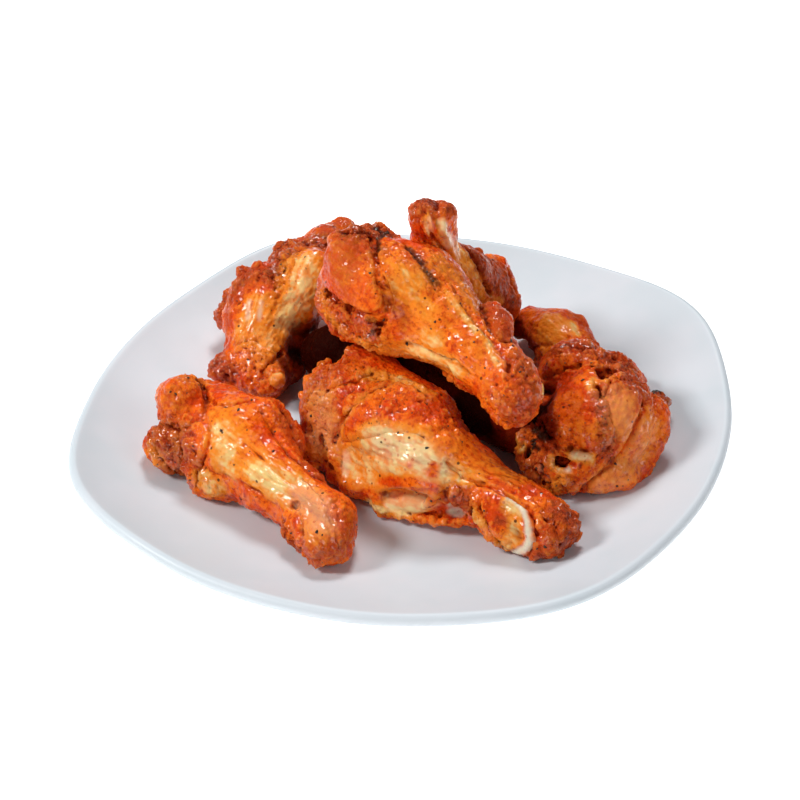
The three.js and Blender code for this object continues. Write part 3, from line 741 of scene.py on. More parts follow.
wing(
    "wing_right", dict(seed=41, brown=0.8, gold=0.2),
    brow=add((2.8, 2.6), (589, 366, 1.5), (597, 360, 0), (608, 358, -0.5), (618, 364, 1), blend=2),
    upper_hole=hole(2.3, (603, 373), (608, 372)),
    hole_below=hole(1.8, (604, 377)),
    slit=hole(0.9, (597, 389), (598, 395), (599, 401)),
    pale_bulge=bone(5.0, 0.08, (616, 400), (624, 420)),
    pale_roll=bone(4.0, 0.05, (644, 436), (626, 464), (604, 482)),
    light_right=gold(6, 0.42, (618, 402), (624, 424)),
    light_roll=gold(5.5, 0.42, (650, 424), (640, 452), (606, 484)),
    roll_edge=add((4.2, 4.0), (655, 412, 2.8), (656, 430, 2.8), (649, 447, 2.8), (640, 462, 2.8),
        (626, 476, 2.8), blend=3),
    hook=add((1.6, 0.4), (654, 399, 1.5), (659, 388, 1.5)),
    barb=add((1.3, 0.4), (659, 403, 1.5), (669, 400, 1.5)),
    bone_plate=bone(1.0, 0.35, (574, 455), (588, 457)),
    pale_plate=gold(2.0, 0.9, (572, 455), (590, 458)),
    tab=gold(1.7, 0.65, (594, 380), (591, 390)),
    hole_bit=gold(1.0, 0.6, (603, 379), (607, 382)),
    smooth_roll=crumb(6.5, 0.12, (652, 425), (640, 452), (606, 486)),
    lower_hole=hole(2.1, (559, 461), (565, 462)),
    filled_gap=add((5.0, 4.0), (547, 385, 5), (543, 402, 5), (536, 418, 4), blend=2),
    end_crust=add((3.0, 2.8), (531, 438, 3), (526, 452, 3), (531, 468, 3), (547, 484, 3), blend=2),
    end_knobs=knobs(1.5, 0.8, (522, 441), (527, 433), (524, 450), (523, 461), (529, 474), (538, 484),
        (549, 491), (541, 436), (547, 444)),
    end_crumbs=knobs(1.0, 0.5, (535, 452), (541, 460), (547, 470), (552, 478), (556, 450), (540, 444),
        (533, 461), (560, 482)),
    end_pits=hole(0.9, (530, 455), (532, 449)),
    end_slot=hole(0.8, (534, 466), (541, 473)),
    low_slot=hole(0.7, (546, 482), (554, 484)),
    shard=add((1.1, 0.8), (541, 466, 0), (551, 475, 0), blend=0.6),
    collar_crease=crease(1.1, (546, 377), (562, 369), (580, 366), (592, 368)),
    top_knobs=knobs(1.8, 1.0, (575, 345), (585, 348), (566, 352), (612, 358), (624, 364), (632, 374),
        (620, 378), (614, 390)),
    right_crease=crease(0.8, (611, 382), (606, 396), (609, 414), (612, 430), (607, 446)),
    fold_crease=crease(1.3, (644, 402), (638, 416), (631, 432), (622, 447), (612, 461), (600, 472),
        (588, 482), (581, 491)),
    hook_spikes=knobs(1.0, 0.8, (661, 391), (668, 401), (646, 394), (654, 395)),
    edge_nicks=cut((1.0, 1.0), (664, 428, 0), (658, 441, 0)),
    # Painted shade on the flank that the wing above shades.
    dark_left=hollow(4, 1.2, (546, 396), (544, 412), (548, 428)),
    dark_gap=hollow(5, 1.9, (541, 398), (536, 416)),
    bone_pin=bone(0.8, 0.8, (566, 469), (569, 469)),
    shard_white=bone(0.8, 0.5, (542, 466), (550, 474)),
    gold_end=gold(2.4, 0.75, (521, 441), (524, 447)),
    crumb_knob=add((1.9,), (521.5, 442, 1.0)),
    collar=ridge(1.6, 0.9, (552, 365), (566, 357), (582, 355), (594, 358)),
    main_bulge=lump(9, 1.1, (572, 398), (578, 412)),
    second_bulge=lump(5.5, 1.0, (590, 430), (596, 436)),
    bulge_crease=groove(0.9, 0.9, (563, 412), (573, 426), (577, 440), (570, 448)),
    right_bulge=lump(8.5, 1.0, (622, 405), (624, 432)),
    fold_roll=ridge(2.6, 0.9, (656, 404), (650, 428), (638, 452), (620, 472), (600, 485)),
    end_crease=groove(1.4, 1.5, (536, 420), (546, 434), (556, 446), (574, 450), (592, 450)),
    end_ridge=ridge(1.4, 1.0, (548, 462), (556, 474), (566, 484), (576, 488)),
    end_pit=groove(1.3, 1.6, (531, 455), (533, 446)),
    end_slit=groove(1.1, 1.6, (535, 468), (546, 480), (556, 486)),
    brown_collar=brown(6, 0.75, (570, 346), (588, 350)),
    brown_top=brown(7, 0.7, (612, 360), (630, 375), (636, 390)),
    rough_top=crumb(8, 1.0, (576, 350), (612, 362), (634, 385)),
    rough_collar=crumb(5, 0.6, (556, 372), (586, 372)),
    # Brown here is painted shade, on the flank in the shade of the wing above.
    red_side=brown(5, 0.6, (548, 385), (546, 405), (548, 420)),
    smooth_bulge=crumb(8, 0.3, (570, 400), (590, 430)),
    orange_bulge=brown(6.5, 0.12, (572, 402), (586, 428)),
    light_bulge=gold(3.6, 0.3, (580, 428), (594, 434)),
    brown_middle=brown(4, 0.85, (604, 392), (608, 420), (604, 446)),
    rough_middle=crumb(4, 1.0, (605, 398), (606, 418), (606, 450)),
    smooth_right=crumb(6, 0.05, (624, 405), (624, 428)),
    brown_roll_edge=brown(2.6, 0.7, (662, 408), (656, 440), (640, 468)),
    not_brown_roll=brown(4, 0.1, (642, 440), (620, 470), (600, 486)),
    dark_hook=char(1.8, 0.9, (648, 394), (656, 392)),
    brown_hook=brown(3.4, 0.9, (650, 396), (664, 398)),
    rough_end=crumb(7, 1.3, (530, 438), (533, 462), (548, 482)),
    brown_end=brown(6, 0.6, (540, 430), (545, 450), (540, 470)),
    char_end=char(2.0, 0.8, (529, 455), (534, 444)),
    char_shell=char(1.5, 0.65, (539, 449)),
    char_shell_low=char(1.3, 0.6, (545, 466), (549, 473)),
    char_slit=char(1.4, 0.7, (535, 468), (548, 482)),
    char_top=char(1.6, 0.6, (534, 429), (545, 438)),
    gold_low=gold(3.2, 0.5, (548, 488), (566, 476)),
    hole_lip=gold(1.2, 0.7, (552, 458), (554, 466), (560, 471)),
)
wing(
    "wing_right_back", dict(seed=53, brown=0.75, gold=0.2, gloss=-0.6),
    under_cut=cut((3.0, 3.0), (519, 348, -12), (519, 348, 30)),
    under_cut_end=cut((2.8, 2.8), (526, 358, -12), (526, 358, 30)),
    # Painted shade on the lower left, where the wing meets the heap.
    dark_under=hollow(4, 1.0, (515, 328), (522, 340), (530, 350)),
    side_crease=groove(1.4, 0.5, (568, 314), (574, 326), (584, 338), (594, 347)),
    tab=add((1.5, 1.2), (580, 320, 1.5), (584, 326, 1.5)),
    inner_crease=groove(1.0, 0.9, (530, 350), (540, 346), (556, 345), (566, 338)),
    smooth_top=crumb(11, 0.12, (530, 320), (556, 325)),
    light_top=gold(5.5, 0.6, (552, 322), (560, 330), (548, 340)),
    not_brown=brown(9, 0.15, (545, 325), (560, 335)),
    brown_left=brown(4.5, 0.75, (518, 322), (528, 335)),
    pale_strip=gold(1.6, 0.85, (572, 324), (577, 334)),
    brown_back=brown(3.4, 0.6, (576, 318), (592, 340)),
    rough_low=crumb(4, 1.0, (538, 360), (552, 364)),
)
wing(
    "wing_back_left", dict(seed=67, brown=0.7, gold=0.3),
    ridge_body=add((6.0, 5.5), (316, 268, 3.6), (309, 290, 3.6), (301, 312, 3.6), blend=4),
    sheet_crease=groove(0.8, 0.7, (238, 351), (240, 343), (250, 341), (262, 342)),
    ridge=ridge(4.5, 1.2, (312, 262), (300, 286), (289, 308), (277, 330)),
    lower_gloss=gloss(8, 0.6, (246, 352), (270, 358), (220, 370)),
    flap_knobs=knobs(2.2, 1.2, (243, 271), (258, 268), (229, 296), (240, 286)),
    flap_spike=add((2.0, 0.8), (224, 312, 1.5), (214, 317, 1.5)),
    flap_spike_low=add((1.6, 0.8), (222, 320, 1.5), (219, 328, 1.5)),
    flap_notch=cut((1.6, 1.6), (233, 280, -2), (233, 280, 6)),
    low_notch=cut((1.8, 1.8), (219, 340, -2), (220, 338, 8)),
    herb_knobs=knobs(1.8, 1.0, (282, 250), (276, 259), (286, 262), (290, 253), (296, 248), (300, 252)),
    ridge_crease=crease(1.0, (291, 260), (285, 272)),
    shadow_side=add((6.0, 5.0), (299, 328, 5), (297, 348, 5), (291, 368, 5), blend=3),
    sheet_knobs=knobs(1.4, 0.7, (240, 352), (244, 364), (250, 374), (256, 380), (262, 370), (270, 360),
        (276, 350), (252, 356)),
    low_crease=crease(1.2, (282, 352), (272, 362), (264, 372), (262, 380)),
    bone_ball=add((2.3,), (278, 381, 1.6), blend=0.7),
    second_ball=add((2.2,), (264, 388, 1.6), blend=0.7),
    bone_crease=crease(1.0, (268, 378), (272, 388), (282, 390)),
    bump_knobs=knobs(1.7, 0.8, (215, 364), (222, 372), (229, 380), (221, 360), (230, 368)),
    stretch=wrinkles(3.5, 0.35, (258, 302), (252, 320), (246, 338)),
    # Painted shade on the wing's right side and low end, where other wings shade it.
    dark_far_side=hollow(6, 1.7, (302, 330), (299, 348), (293, 366)),
    dark_low_side=hollow(3, 0.8, (282, 362), (288, 374), (286, 390)),
    top_crease=groove(1.2, 1.2, (302, 243), (316, 246), (332, 243)),
    herb_clump=lump(5, 1.4, (286, 253), (284, 264)),
    flap_crease=groove(1.3, 1.1, (262, 270), (250, 290), (238, 304)),
    bone_end=lump(2.8, 0.8, (278, 381)),
    smooth_top=crumb(7, 0.2, (318, 230), (348, 228)),
    brown_top=brown(8, 0.5, (315, 232), (350, 228)),
    rough_top=crumb(5, 1.1, (308, 244), (332, 244), (294, 250)),
    red_top=brown(5, 0.85, (308, 244), (332, 243)),
    brown_herbs=brown(6, 0.85, (284, 252), (283, 268), (272, 275)),
    rough_herbs=crumb(6, 1.2, (284, 250), (276, 272)),
    char_herbs=char(1.6, 0.5, (282, 262), (284, 270)),
    brown_flap=brown(6, 0.7, (246, 272), (232, 292), (220, 312)),
    rough_flap=crumb(6, 0.7, (246, 272), (222, 305)),
    smooth_ridge=crumb(6, 0.06, (312, 275), (290, 318)),
    not_brown_ridge=brown(7, 0.0, (312, 275), (292, 315), (275, 340)),
    gold_ridge=gold(8.5, 0.66, (308, 268), (294, 294), (280, 324), (266, 340)),
    cream_ridge=gold(4.0, 0.95, (308, 268), (302, 288), (296, 304), (286, 320)),
    # Painted light: the cream ridge whitened a little more, as though lit.
    bone_ridge=bone(3.0, 0.12, (307, 272), (302, 290), (298, 304)),
    bone_streaks=bone(0.9, 0.5, (250, 302), (248, 318)),
    bone_streak=bone(0.9, 0.5, (262, 303), (259, 320)),
    pale_side=gold(3.4, 0.9, (318, 288), (312, 302)),
    red_ridge_top=brown(3.5, 0.6, (298, 250), (316, 252)),
    pale_patch=gold(3.8, 0.95, (262, 308), (252, 324)),
    light_patch=gold(5.5, 0.6, (258, 306), (246, 330)),
    smooth_patch=crumb(5, 0.1, (258, 306), (248, 330)),
    not_brown_patch=brown(6, 0.05, (258, 306), (240, 336)),
    orange_sheet=brown(6, 0.15, (250, 352), (265, 358)),
    rough_sheet=crumb(6, 0.8, (250, 360), (262, 372), (246, 350)),
    pink_bumps=brown(4.5, 0.75, (216, 362), (226, 372)),
    rough_bumps=crumb(4.5, 0.9, (216, 362), (226, 374)),
    bone_end_gold=gold(2.8, 0.9, (278, 380)),
    # Painted shade: brown on the side in the shade of the wings beside it.
    dark_side=brown(7, 0.8, (300, 345), (292, 365)),
)
wing(
    "wing_back", dict(seed=79, brown=0.75, gold=0.3),
    dry_flap=gloss(12, -0.7, (470, 265), (500, 290)),
    left_crease=crease(0.9, (424, 212), (427, 224), (433, 238), (444, 250)),
    right_ridge=ridge(1.2, 0.9, (442, 222), (444, 236), (450, 252), (462, 272)),
    flap_crease=crease(1.0, (468, 250), (476, 264), (482, 280), (490, 294)),
    pale_shaft=gold(3.0, 0.75, (458, 252), (468, 268), (476, 284), (484, 298)),
    flap_knobs=knobs(1.4, 0.8, (478, 252), (503, 261), (512, 286), (517, 297), (508, 272), (490, 259)),
    flap_nicks=cut((1.2, 1.2), (509, 276, 0), (515, 291, 0)),
    # Painted shade at the flap's fold.
    flap_dark=hollow(2.5, 0.5, (474, 256), (480, 268)),
    pale_left=gold(1.3, 0.85, (426, 216), (427, 224), (430, 236)),
    pale_ridge=gold(1.8, 0.95, (441, 224), (444, 238), (448, 248)),
    gold_ridge=gold(2.6, 0.8, (454, 248), (461, 262), (470, 280)),
    light_line=bone(1.1, 0.4, (427, 218), (430, 232)),
    light_crest=bone(1.2, 0.4, (442, 222), (447, 244)),
    wet_shaft=gloss(2.5, 0.6, (436, 214), (444, 236), (456, 258)),
    condyle_groove=groove(1.4, 1.7, (438, 195), (437, 205), (435, 214), (438, 224)),
    side_groove=groove(0.9, 0.8, (417, 218), (421, 232), (428, 244)),
    shaft_stretch=wrinkles(3.6, 0.4, (438, 228), (452, 252), (470, 280)),
    red_condyles=brown(5, 0.9, (420, 203), (446, 203)),
    rough_condyles=crumb(4, 0.5, (420, 202), (448, 203)),
    pink_middle=brown(2.4, 0.5, (436, 210), (438, 220)),
    light_shaft=gold(3, 0.6, (444, 242), (466, 272), (480, 290)),
    smooth_shaft=crumb(5, 0.1, (436, 230), (470, 280)),
    not_brown_shaft=brown(3.6, 0.1, (436, 236), (470, 280)),
    brown_flap=brown(9, 0.8, (478, 262), (500, 280), (505, 300)),
    rough_flap=crumb(9, 0.45, (478, 262), (503, 290)),
    char_flap=char(2.2, 0.35, (466, 254), (476, 266)),
    light_flap=gold(2.6, 0.4, (486, 298), (498, 302)),
    brown_lobe=brown(5, 0.7, (496, 322), (504, 334)),
    rough_lobe=crumb(5, 0.5, (496, 322), (506, 336)),
)
wing(
    "wing_top", dict(seed=97, brown=0.5, gold=0.4),
    split=groove(1.9, 1.3, (406, 243), (413, 252), (421, 263), (429, 275), (436, 288)),
    split_end=groove(1.4, 0.3, (436, 288), (446, 304), (458, 320), (470, 334)),
    second_split=groove(1.3, 0.3, (444, 286), (453, 303), (463, 317), (475, 332), (487, 346),
        (498, 360)),
    lip_end=groove(1.5, 1.1, (378, 322), (379, 333), (376, 344)),
    lip_knobs=knobs(1.7, 0.9, (322, 300), (329, 312), (345, 326), (352, 331), (366, 339), (376, 336),
        (350, 317)),
    bridge_pit=hole(0.6, (380, 322), (384, 319)),
    tendon_side=groove(1.2, 0.3, (462, 308), (472, 320), (484, 333), (496, 346), (508, 362), (515, 380)),
    dry_thumb=gloss(11, -0.75, (344, 248), (350, 272), (366, 298)),
    wet_tendons=gloss(3, 0.7, (452, 300), (478, 332), (504, 368)),
    wet_lip=gloss(3, 0.5, (362, 322), (372, 330)),
    thumb_crease=crease(1.5, (370, 236), (375, 248), (377, 262), (378, 276), (384, 288), (388, 300),
        (385, 310), (376, 315), (364, 313), (350, 308), (336, 301), (326, 292)),
    thumb_pocket=hole(0.8, (379, 285), (385, 287)),
    crest_knobs=knobs(1.5, 1.0, (334, 240), (340, 234), (347, 231), (354, 228), (361, 226), (368, 226),
        (376, 234), (386, 242), (336, 246)),
    crest_link=add((2.2, 2.2), (336, 240, 2.5), (348, 232, 2.5), (364, 229, 2.5), blend=1.5),
    valley=groove(5.5, 1.3, (388, 288), (393, 304), (399, 322)),
    tendon=ridge(0.9, 1.3, (447, 288), (456, 304), (466, 319), (478, 333), (490, 347), (502, 362),
        (506, 374)),
    third_line=ridge(0.7, 0.7, (480, 338), (492, 352), (500, 366), (504, 382)),
    fold=crease(1.0, (408, 342), (424, 349), (440, 355), (456, 362), (470, 372)),
    lobe=add((5.0, 4.6), (494, 319, 4), (499, 330, 4), blend=1.2),
    lobe_crease=crease(1.1, (482, 307), (485, 318), (491, 331), (501, 341), (510, 346)),
    lobe_rim=ridge(0.9, 0.8, (486, 311), (494, 309), (503, 312), (507, 320)),
    crescent=add((0.9, 0.6), (539, 399, 0.5), (544, 392, 0.5), (543, 385, 0.5), blend=0.5),
    underside_knobs=knobs(1.2, 0.6, (452, 380), (457, 385), (463, 389), (468, 393), (446, 376),
        (459, 380)),
    knuckle_knobs=knobs(1.3, 0.6, (533, 378), (537, 390), (534, 404), (526, 414), (519, 422), (508, 425),
        (520, 365), (514, 352)),
    brown_lobe=brown(5, 0.7, (494, 319), (500, 330)),
    # Painted shade in the pocket beside the thumb and down the valley.
    red_pocket=hollow(1.5, 1.0, (378, 284), (386, 288)),
    dark_valley=hollow(2.6, 0.5, (386, 290), (392, 306)),
    orange_tendons=gold(6, 0.32, (438, 300), (458, 325), (480, 352)),
    pale_tendon=gold(1.2, 0.9, (446, 293), (462, 315), (474, 329), (488, 345), (500, 366)),
    char_split=char(1.9, 0.55, (408, 247), (420, 261), (434, 282)),
    pale_crescent=gold(1.2, 1.0, (541, 396), (544, 388)),
    thumb=lump(8.5, 0.7, (350, 252), (354, 275), (366, 298)),
    crest_tip=add((1.4, 0.8), (377, 226, 1.5), (377, 221, 1.5)),
    stretch=wrinkles(9, 0.34, (398, 282), (420, 318), (452, 352), (488, 388)),
    roll=ridge(1.9, 0.9, (412, 350), (430, 356), (448, 364), (464, 374)),
    roll_line=groove(0.7, 0.5, (418, 349), (440, 361), (462, 368)),
    bump=lump(4.5, 0.6, (402, 274), (412, 280)),
    calm_knuckle=crumb(4, 0.3, (490, 360), (498, 372)),
    knuckle_line=groove(1.1, 0.2, (486, 362), (496, 374), (503, 388), (505, 404)),
    knuckle_crease=groove(0.9, 0.6, (520, 360), (526, 376), (526, 394)),
    underside_crumbs=lump(2.4, 1.1, (456, 381), (464, 389)),
    smooth_thumb=crumb(9, 0.12, (348, 248), (352, 275), (364, 298)),
    brown_thumb=brown(10, 0.58, (346, 248), (350, 275), (364, 300)),
    plain_thumb=gold(10, 0.14, (346, 248), (352, 275), (366, 300)),
    # Painted sheen: lighter gold on the thumb's left.
    light_thumb=gold(4.0, 0.22, (340, 256), (346, 278), (354, 292)),
    rough_crest=crumb(4, 1.2, (345, 231), (368, 226), (384, 232)),
    brown_crest=brown(4, 0.85, (345, 232), (368, 228), (386, 236)),
    rough_side=crumb(5, 0.8, (376, 250), (382, 272), (384, 286)),
    brown_side=brown(3.5, 0.6, (376, 252), (381, 272), (383, 286)),
    rough_lip=crumb(6, 1.25, (322, 303), (340, 322), (368, 332)),
    brown_lip=brown(4, 0.45, (336, 306), (350, 320), (370, 330)),
    dark_crumbs=char(1.2, 0.5, (368, 320), (376, 322), (372, 334)),
    orange_jaw=gold(3.0, 0.5, (322, 298), (328, 312), (340, 326), (352, 336)),
    char_crest=char(1.4, 0.6, (376, 230), (386, 234), (377, 242), (379, 252)),
    smooth_body=crumb(12, 0.12, (405, 290), (435, 335), (470, 370)),
    not_brown=brown(13, 0.0, (405, 290), (430, 330), (460, 360)),
    gold_body=gold(10, 0.34, (400, 280), (418, 312), (420, 338)),
    gold_bump=gold(3.6, 0.7, (402, 274), (412, 280)),
    gold_back=gold(5, 0.42, (440, 262), (453, 276), (470, 300)),
    pale_middle=gold(2.6, 0.62, (392, 286), (408, 294), (428, 312)),
    pale_low=gold(3.0, 0.75, (424, 338), (436, 340)),
    pale_fold=gold(2.8, 1.0, (412, 346), (436, 358), (460, 368)),
    gold_under=gold(4.5, 0.65, (366, 345), (396, 350), (440, 366)),
    light_end=gold(3.5, 0.3, (470, 360), (495, 400)),
    orange_back=brown(6, 0.22, (430, 255), (460, 285)),
    brown_back=brown(3.4, 0.6, (462, 278), (482, 306), (510, 342)),
    rough_back=crumb(6, 0.55, (430, 255), (465, 295), (505, 340)),
    rough_knuckle=crumb(8, 0.8, (520, 365), (524, 400), (505, 412)),
    brown_knuckle=brown(6.5, 0.6, (524, 365), (530, 395), (516, 418)),
    rough_under=crumb(3, 1.2, (452, 378), (464, 390)),
)


# ---- materials ----------------------------------------------------------------------------------


class Graph:
    """A material's nodes, put together by short calls."""

    def __init__(self, name):
        self.material = bpy.data.materials.new(name)
        self.material.use_nodes = True
        self.tree = self.material.node_tree

    def join(self, sockets, inputs):
        """Links nodes to a node's named inputs, or sets them to values."""
        for key, value in inputs.items():
            socket = sockets[key.replace("_", " ") if isinstance(key, str) else key]
            if isinstance(value, bpy.types.NodeSocket):
                self.tree.links.new(value, socket)
            else:
                socket.default_value = value

    def make(self, kind, settings=None, **inputs):
        node = self.tree.nodes.new("ShaderNode" + kind)
        for key, value in (settings or {}).items():
            setattr(node, key, value)
        self.join(node.inputs, inputs)
        return node

    def finish(self, **inputs):
        """The material, with its shader's inputs."""
        self.join(self.tree.nodes["Principled BSDF"].inputs, inputs)
        return self.material

    def place(self):
        """Places on the object, in millimetres."""
        where = self.make("TexCoord").outputs["Object"]
        return self.make("VectorMath", {"operation": "SCALE"}, Vector=where, Scale=1 / MM).outputs[0]

    def layer(self, name):
        return self.make("Attribute", {"attribute_name": name}).outputs["Fac"]

    def noise(self, place, pitch, detail=3.0, roughness=0.55):
        return self.make("TexNoise", Vector=place, Scale=1 / pitch, Detail=detail,
                         Roughness=roughness).outputs["Fac"]

    def grain(self, place, pitch, feature="F1"):
        """The distance from the middle of the nearest grain, and the grain's random colour."""
        node = self.make("TexVoronoi", {"feature": feature}, Vector=place, Scale=1 / pitch)
        return node.outputs["Distance"], node.outputs["Color"]

    def part(self, colour, index):
        return self.make("SeparateColor", Color=colour).outputs[index]

    def math(self, operation, a, b, clamp=False):
        node = self.make("Math", {"operation": operation, "use_clamp": clamp})
        self.join(node.inputs, {0: a, 1: b})
        return node.outputs[0]

    def plus(self, a, b, clamp=False):
        return self.math("ADD", a, b, clamp)

    def minus(self, a, b):
        return self.math("SUBTRACT", a, b)

    def times(self, a, b):
        return self.math("MULTIPLY", a, b)

    def span(self, value, low, high, to_low=0.0, to_high=1.0):
        """A soft step from to_low, where the value is low, to to_high."""
        node = self.make("MapRange", {"interpolation_type": "SMOOTHSTEP"})
        self.join(node.inputs, dict(enumerate((value, low, high, to_low, to_high))))
        return node.outputs[0]

    def mix(self, amount, a, b):
        node = self.make("Mix", {"data_type": "RGBA"}, Factor=amount)
        self.join(node.inputs, {6: a, 7: b})
        return node.outputs[2]

    def bump(self, height, strength, distance, **normal):
        return self.make("Bump", Strength=strength, Distance=distance * MM, Height=height,
                         **normal).outputs[0]


def rgb(red, green, blue):
    """A colour given as it looks on a screen, 0 to 255."""
    parts = [c / 255 for c in (red, green, blue)]
    return tuple(c / 12.92 if c <= 0.04045 else ((c + 0.055) / 1.055) ** 2.4 for c in parts) + (1.0,)


def baked_skin():
    """Chicken skin with spices and fat: orange, browned on its crusts, golden where it is stretched, with
    painted shade in its folds and holes and painted highlights on its crumbs.
    """
    g = Graph("baked_skin")
    place = g.place()
    brown, gold, char, bone, hollow, crumb, peak, gloss = map(g.layer, (
        "brown", "gold", "char", "bone", "hollow", "crumb", "peak", "gloss"))
    broad = g.noise(place, 7.0)
    fine = g.noise(place, 1.6, 4.0, 0.65)
    dust = g.noise(place, 0.5, 3.0, 0.7)

    deep_orange, light_orange, red_orange = rgb(230, 69, 6), rgb(255, 113, 19), rgb(192, 48, 5)
    lit_orange, golden, cream = rgb(255, 148, 52), rgb(252, 144, 40), rgb(252, 212, 136)
    dark_crust, light_crust = rgb(128, 32, 9), rgb(208, 78, 26)
    dusty_crust, lit_crust = rgb(216, 112, 66), rgb(232, 122, 60)
    # The first two reds are painted shade, in folds and in holes and shaded places; the third is for flecks
    # of spice.
    fold_red, hole_red, fleck_red = rgb(112, 15, 2), rgb(38, 5, 2), rgb(190, 44, 10)
    bone_white, char_brown = rgb(238, 222, 196), rgb(52, 24, 14)

    orange = g.mix(g.span(broad, 0.40, 0.60), deep_orange, light_orange)
    orange = g.mix(g.span(fine, 0.48, 0.64, 0.0, 0.85), orange, red_orange)
    # Painted highlight: lighter orange where the skin stands out.
    orange = g.mix(g.span(peak, 0.25, 0.9, 0.0, 0.5), orange, lit_orange)
    crust = g.mix(g.span(fine, 0.38, 0.62), dark_crust, light_crust)
    crust = g.mix(g.span(dust, 0.48, 0.72, 0.0, 0.35), crust, dusty_crust)
    # Painted highlight: lighter crust where it stands out.
    crust = g.mix(g.span(peak, 0.3, 1.0, 0.0, 0.4), crust, lit_crust)
    mottled = g.plus(brown, g.times(g.minus(fine, 0.5), 0.9))
    colour = g.mix(g.span(mottled, 0.12, 0.85), orange, crust)
    speckled = g.plus(gold, g.times(g.minus(fine, 0.5), -0.6))
    colour = g.mix(g.span(speckled, 0.05, 0.60), colour, golden)
    colour = g.mix(g.span(speckled, 0.50, 1.0), colour, cream)
    # Painted shade: dark red, then nearly black, as the shade layer rises.
    colour = g.mix(g.span(hollow, 0.0, 0.85, 0.0, 0.88), colour, fold_red)
    colour = g.mix(g.span(hollow, 0.95, 1.7), colour, hole_red)
    colour = g.mix(bone, colour, bone_white)

    fleck_far, fleck_random = g.grain(place, 1.7)
    fleck = g.math("LESS_THAN", fleck_far, g.span(g.part(fleck_random, 0), 0.55, 1.0, 0.0, 0.3))
    fleck = g.times(fleck, g.span(hollow, 0.3, 0.9, 0.46, 0.0))
    colour = g.mix(fleck, colour, fleck_red)
    pepper_far, pepper_random = g.grain(place, 3.4)
    size = g.span(g.part(pepper_random, 1), 0.72, 1.0, 0.0, 0.17)
    speck = g.math("LESS_THAN", g.plus(pepper_far, g.times(dust, 0.08)), g.plus(size, 0.02))
    charred = g.span(g.plus(char, g.times(fine, 0.5)), 0.45, 0.95)
    colour = g.mix(g.math("MAXIMUM", charred, g.times(speck, 0.85)), colour, char_brown)

    greasy = g.noise(place, 4.5, 2.0)
    shine = g.minus(g.span(greasy, 0.35, 0.65, 0.24, 0.40), g.times(gold, 0.08))
    pores, _ = g.grain(place, 0.62, "SMOOTH_F1")
    relief = g.minus(g.times(dust, 1.6), pores)
    relief = g.plus(relief, g.times(g.noise(place, 1.3, 2.0, 0.5), 2.4))
    relief = g.times(relief, g.plus(crumb, 0.15))
    wet = g.bump(g.noise(place, 2.2, 2.0, 0.45), 0.4, 0.6)
    greased = g.plus(g.span(greasy, 0.48, 0.60, 0.05, 0.95), g.times(gold, 0.15))
    greased = g.plus(greased, g.times(gloss, 0.8), True)
    return g.finish(
        Base_Color=colour, Roughness=g.plus(shine, g.times(brown, 0.08)),
        Normal=g.bump(relief, 0.85, 0.3, Normal=wet),
        Coat_Weight=g.times(greased, g.span(hollow, 0.2, 0.9, 1.0, 0.0)),
        Coat_Normal=wet, Coat_Roughness=0.06,
        Specular_IOR_Level=g.span(hollow, 0.3, 1.2, 0.17, 0.02),
        Specular_Tint=(1.0, 0.62, 0.36, 1.0), Subsurface_Weight=0.10,
        Subsurface_Radius=(1.0, 0.35, 0.12), Subsurface_Scale=2.2 * MM)


def dark_herb():
    """Flakes of pepper and dried herbs, nearly black, with olive and brown ones among them."""
    g = Graph("dark_herb")
    place = g.place()
    black, brown, olive = rgb(34, 20, 14), rgb(78, 52, 32), rgb(70, 66, 46)
    colour = g.mix(g.span(g.noise(place, 1.6, 3.0), 0.35, 0.65), black, brown)
    return g.finish(
        Base_Color=g.mix(g.span(g.noise(place, 5.0), 0.52, 0.66), colour, olive),
        Roughness=g.span(g.noise(place, 1.0), 0.3, 0.7, 0.35, 0.7),
        Normal=g.bump(g.noise(place, 0.4), 0.6, 0.2))


def porcelain():
    """White glazed porcelain, with the faint unevenness of its glaze and a bare foot ring."""
    g = Graph("porcelain")
    place = g.place()
    height = g.make("SeparateXYZ", Vector=place).outputs["Z"]
    bare = g.span(height, 0.9, 0.5)
    glaze = g.mix(g.span(g.noise(place, 40.0), 0.4, 0.6), rgb(213, 222, 228), rgb(219, 225, 231))
    shine = g.span(g.noise(place, 12.0, 2.0), 0.35, 0.65, 0.42, 0.5)
    return g.finish(
        Base_Color=g.mix(bare, glaze, rgb(214, 208, 198)),
        Roughness=g.plus(shine, g.times(bare, 0.5)),
        Normal=g.bump(g.noise(place, 9.0, 2.0), 0.12, 0.25),
        Specular_IOR_Level=0.35, Coat_Weight=0.08, Coat_Roughness=0.3)


# ---- the plate ----------------------------------------------------------------------------------

PLATE_SIDE = 210
CORNER_SWELL = (0.0293, 0.0076, 0.0021)
PLATE_RADIUS = PLATE_SIDE / 2 / (1 - CORNER_SWELL[0] + CORNER_SWELL[1] - CORNER_SWELL[2])
RIM_HEIGHT = 20
CORNER_LIFT = (1.2, 0.4)
FLOOR_HEIGHT = 6.5
FLOOR_SHARE = 0.5
RISE_POWER = 2.1
LIP_RADIUS = 1.9
PLATE_THICKNESS = 4.4
CENTRE_SHARE = 0.02  # the innermost ring
BOWL_SHARES = (0.53, 0.965)
UNDER_SHARES = (0.93, 0.64)
FOOT_SHARES = (0.6, 0.565)
FOOT_FILLET = [(0.625, 1.3), (0.608, 0.5)]
FOOT_ROUND = (0.006, 0.12)
FOOT_RECESS = 1.8
LIP_TURN = 118  # the direction in which the bowl runs into the round lip
LIP_SWEEP = 205
PLATE_SEGMENTS = 256


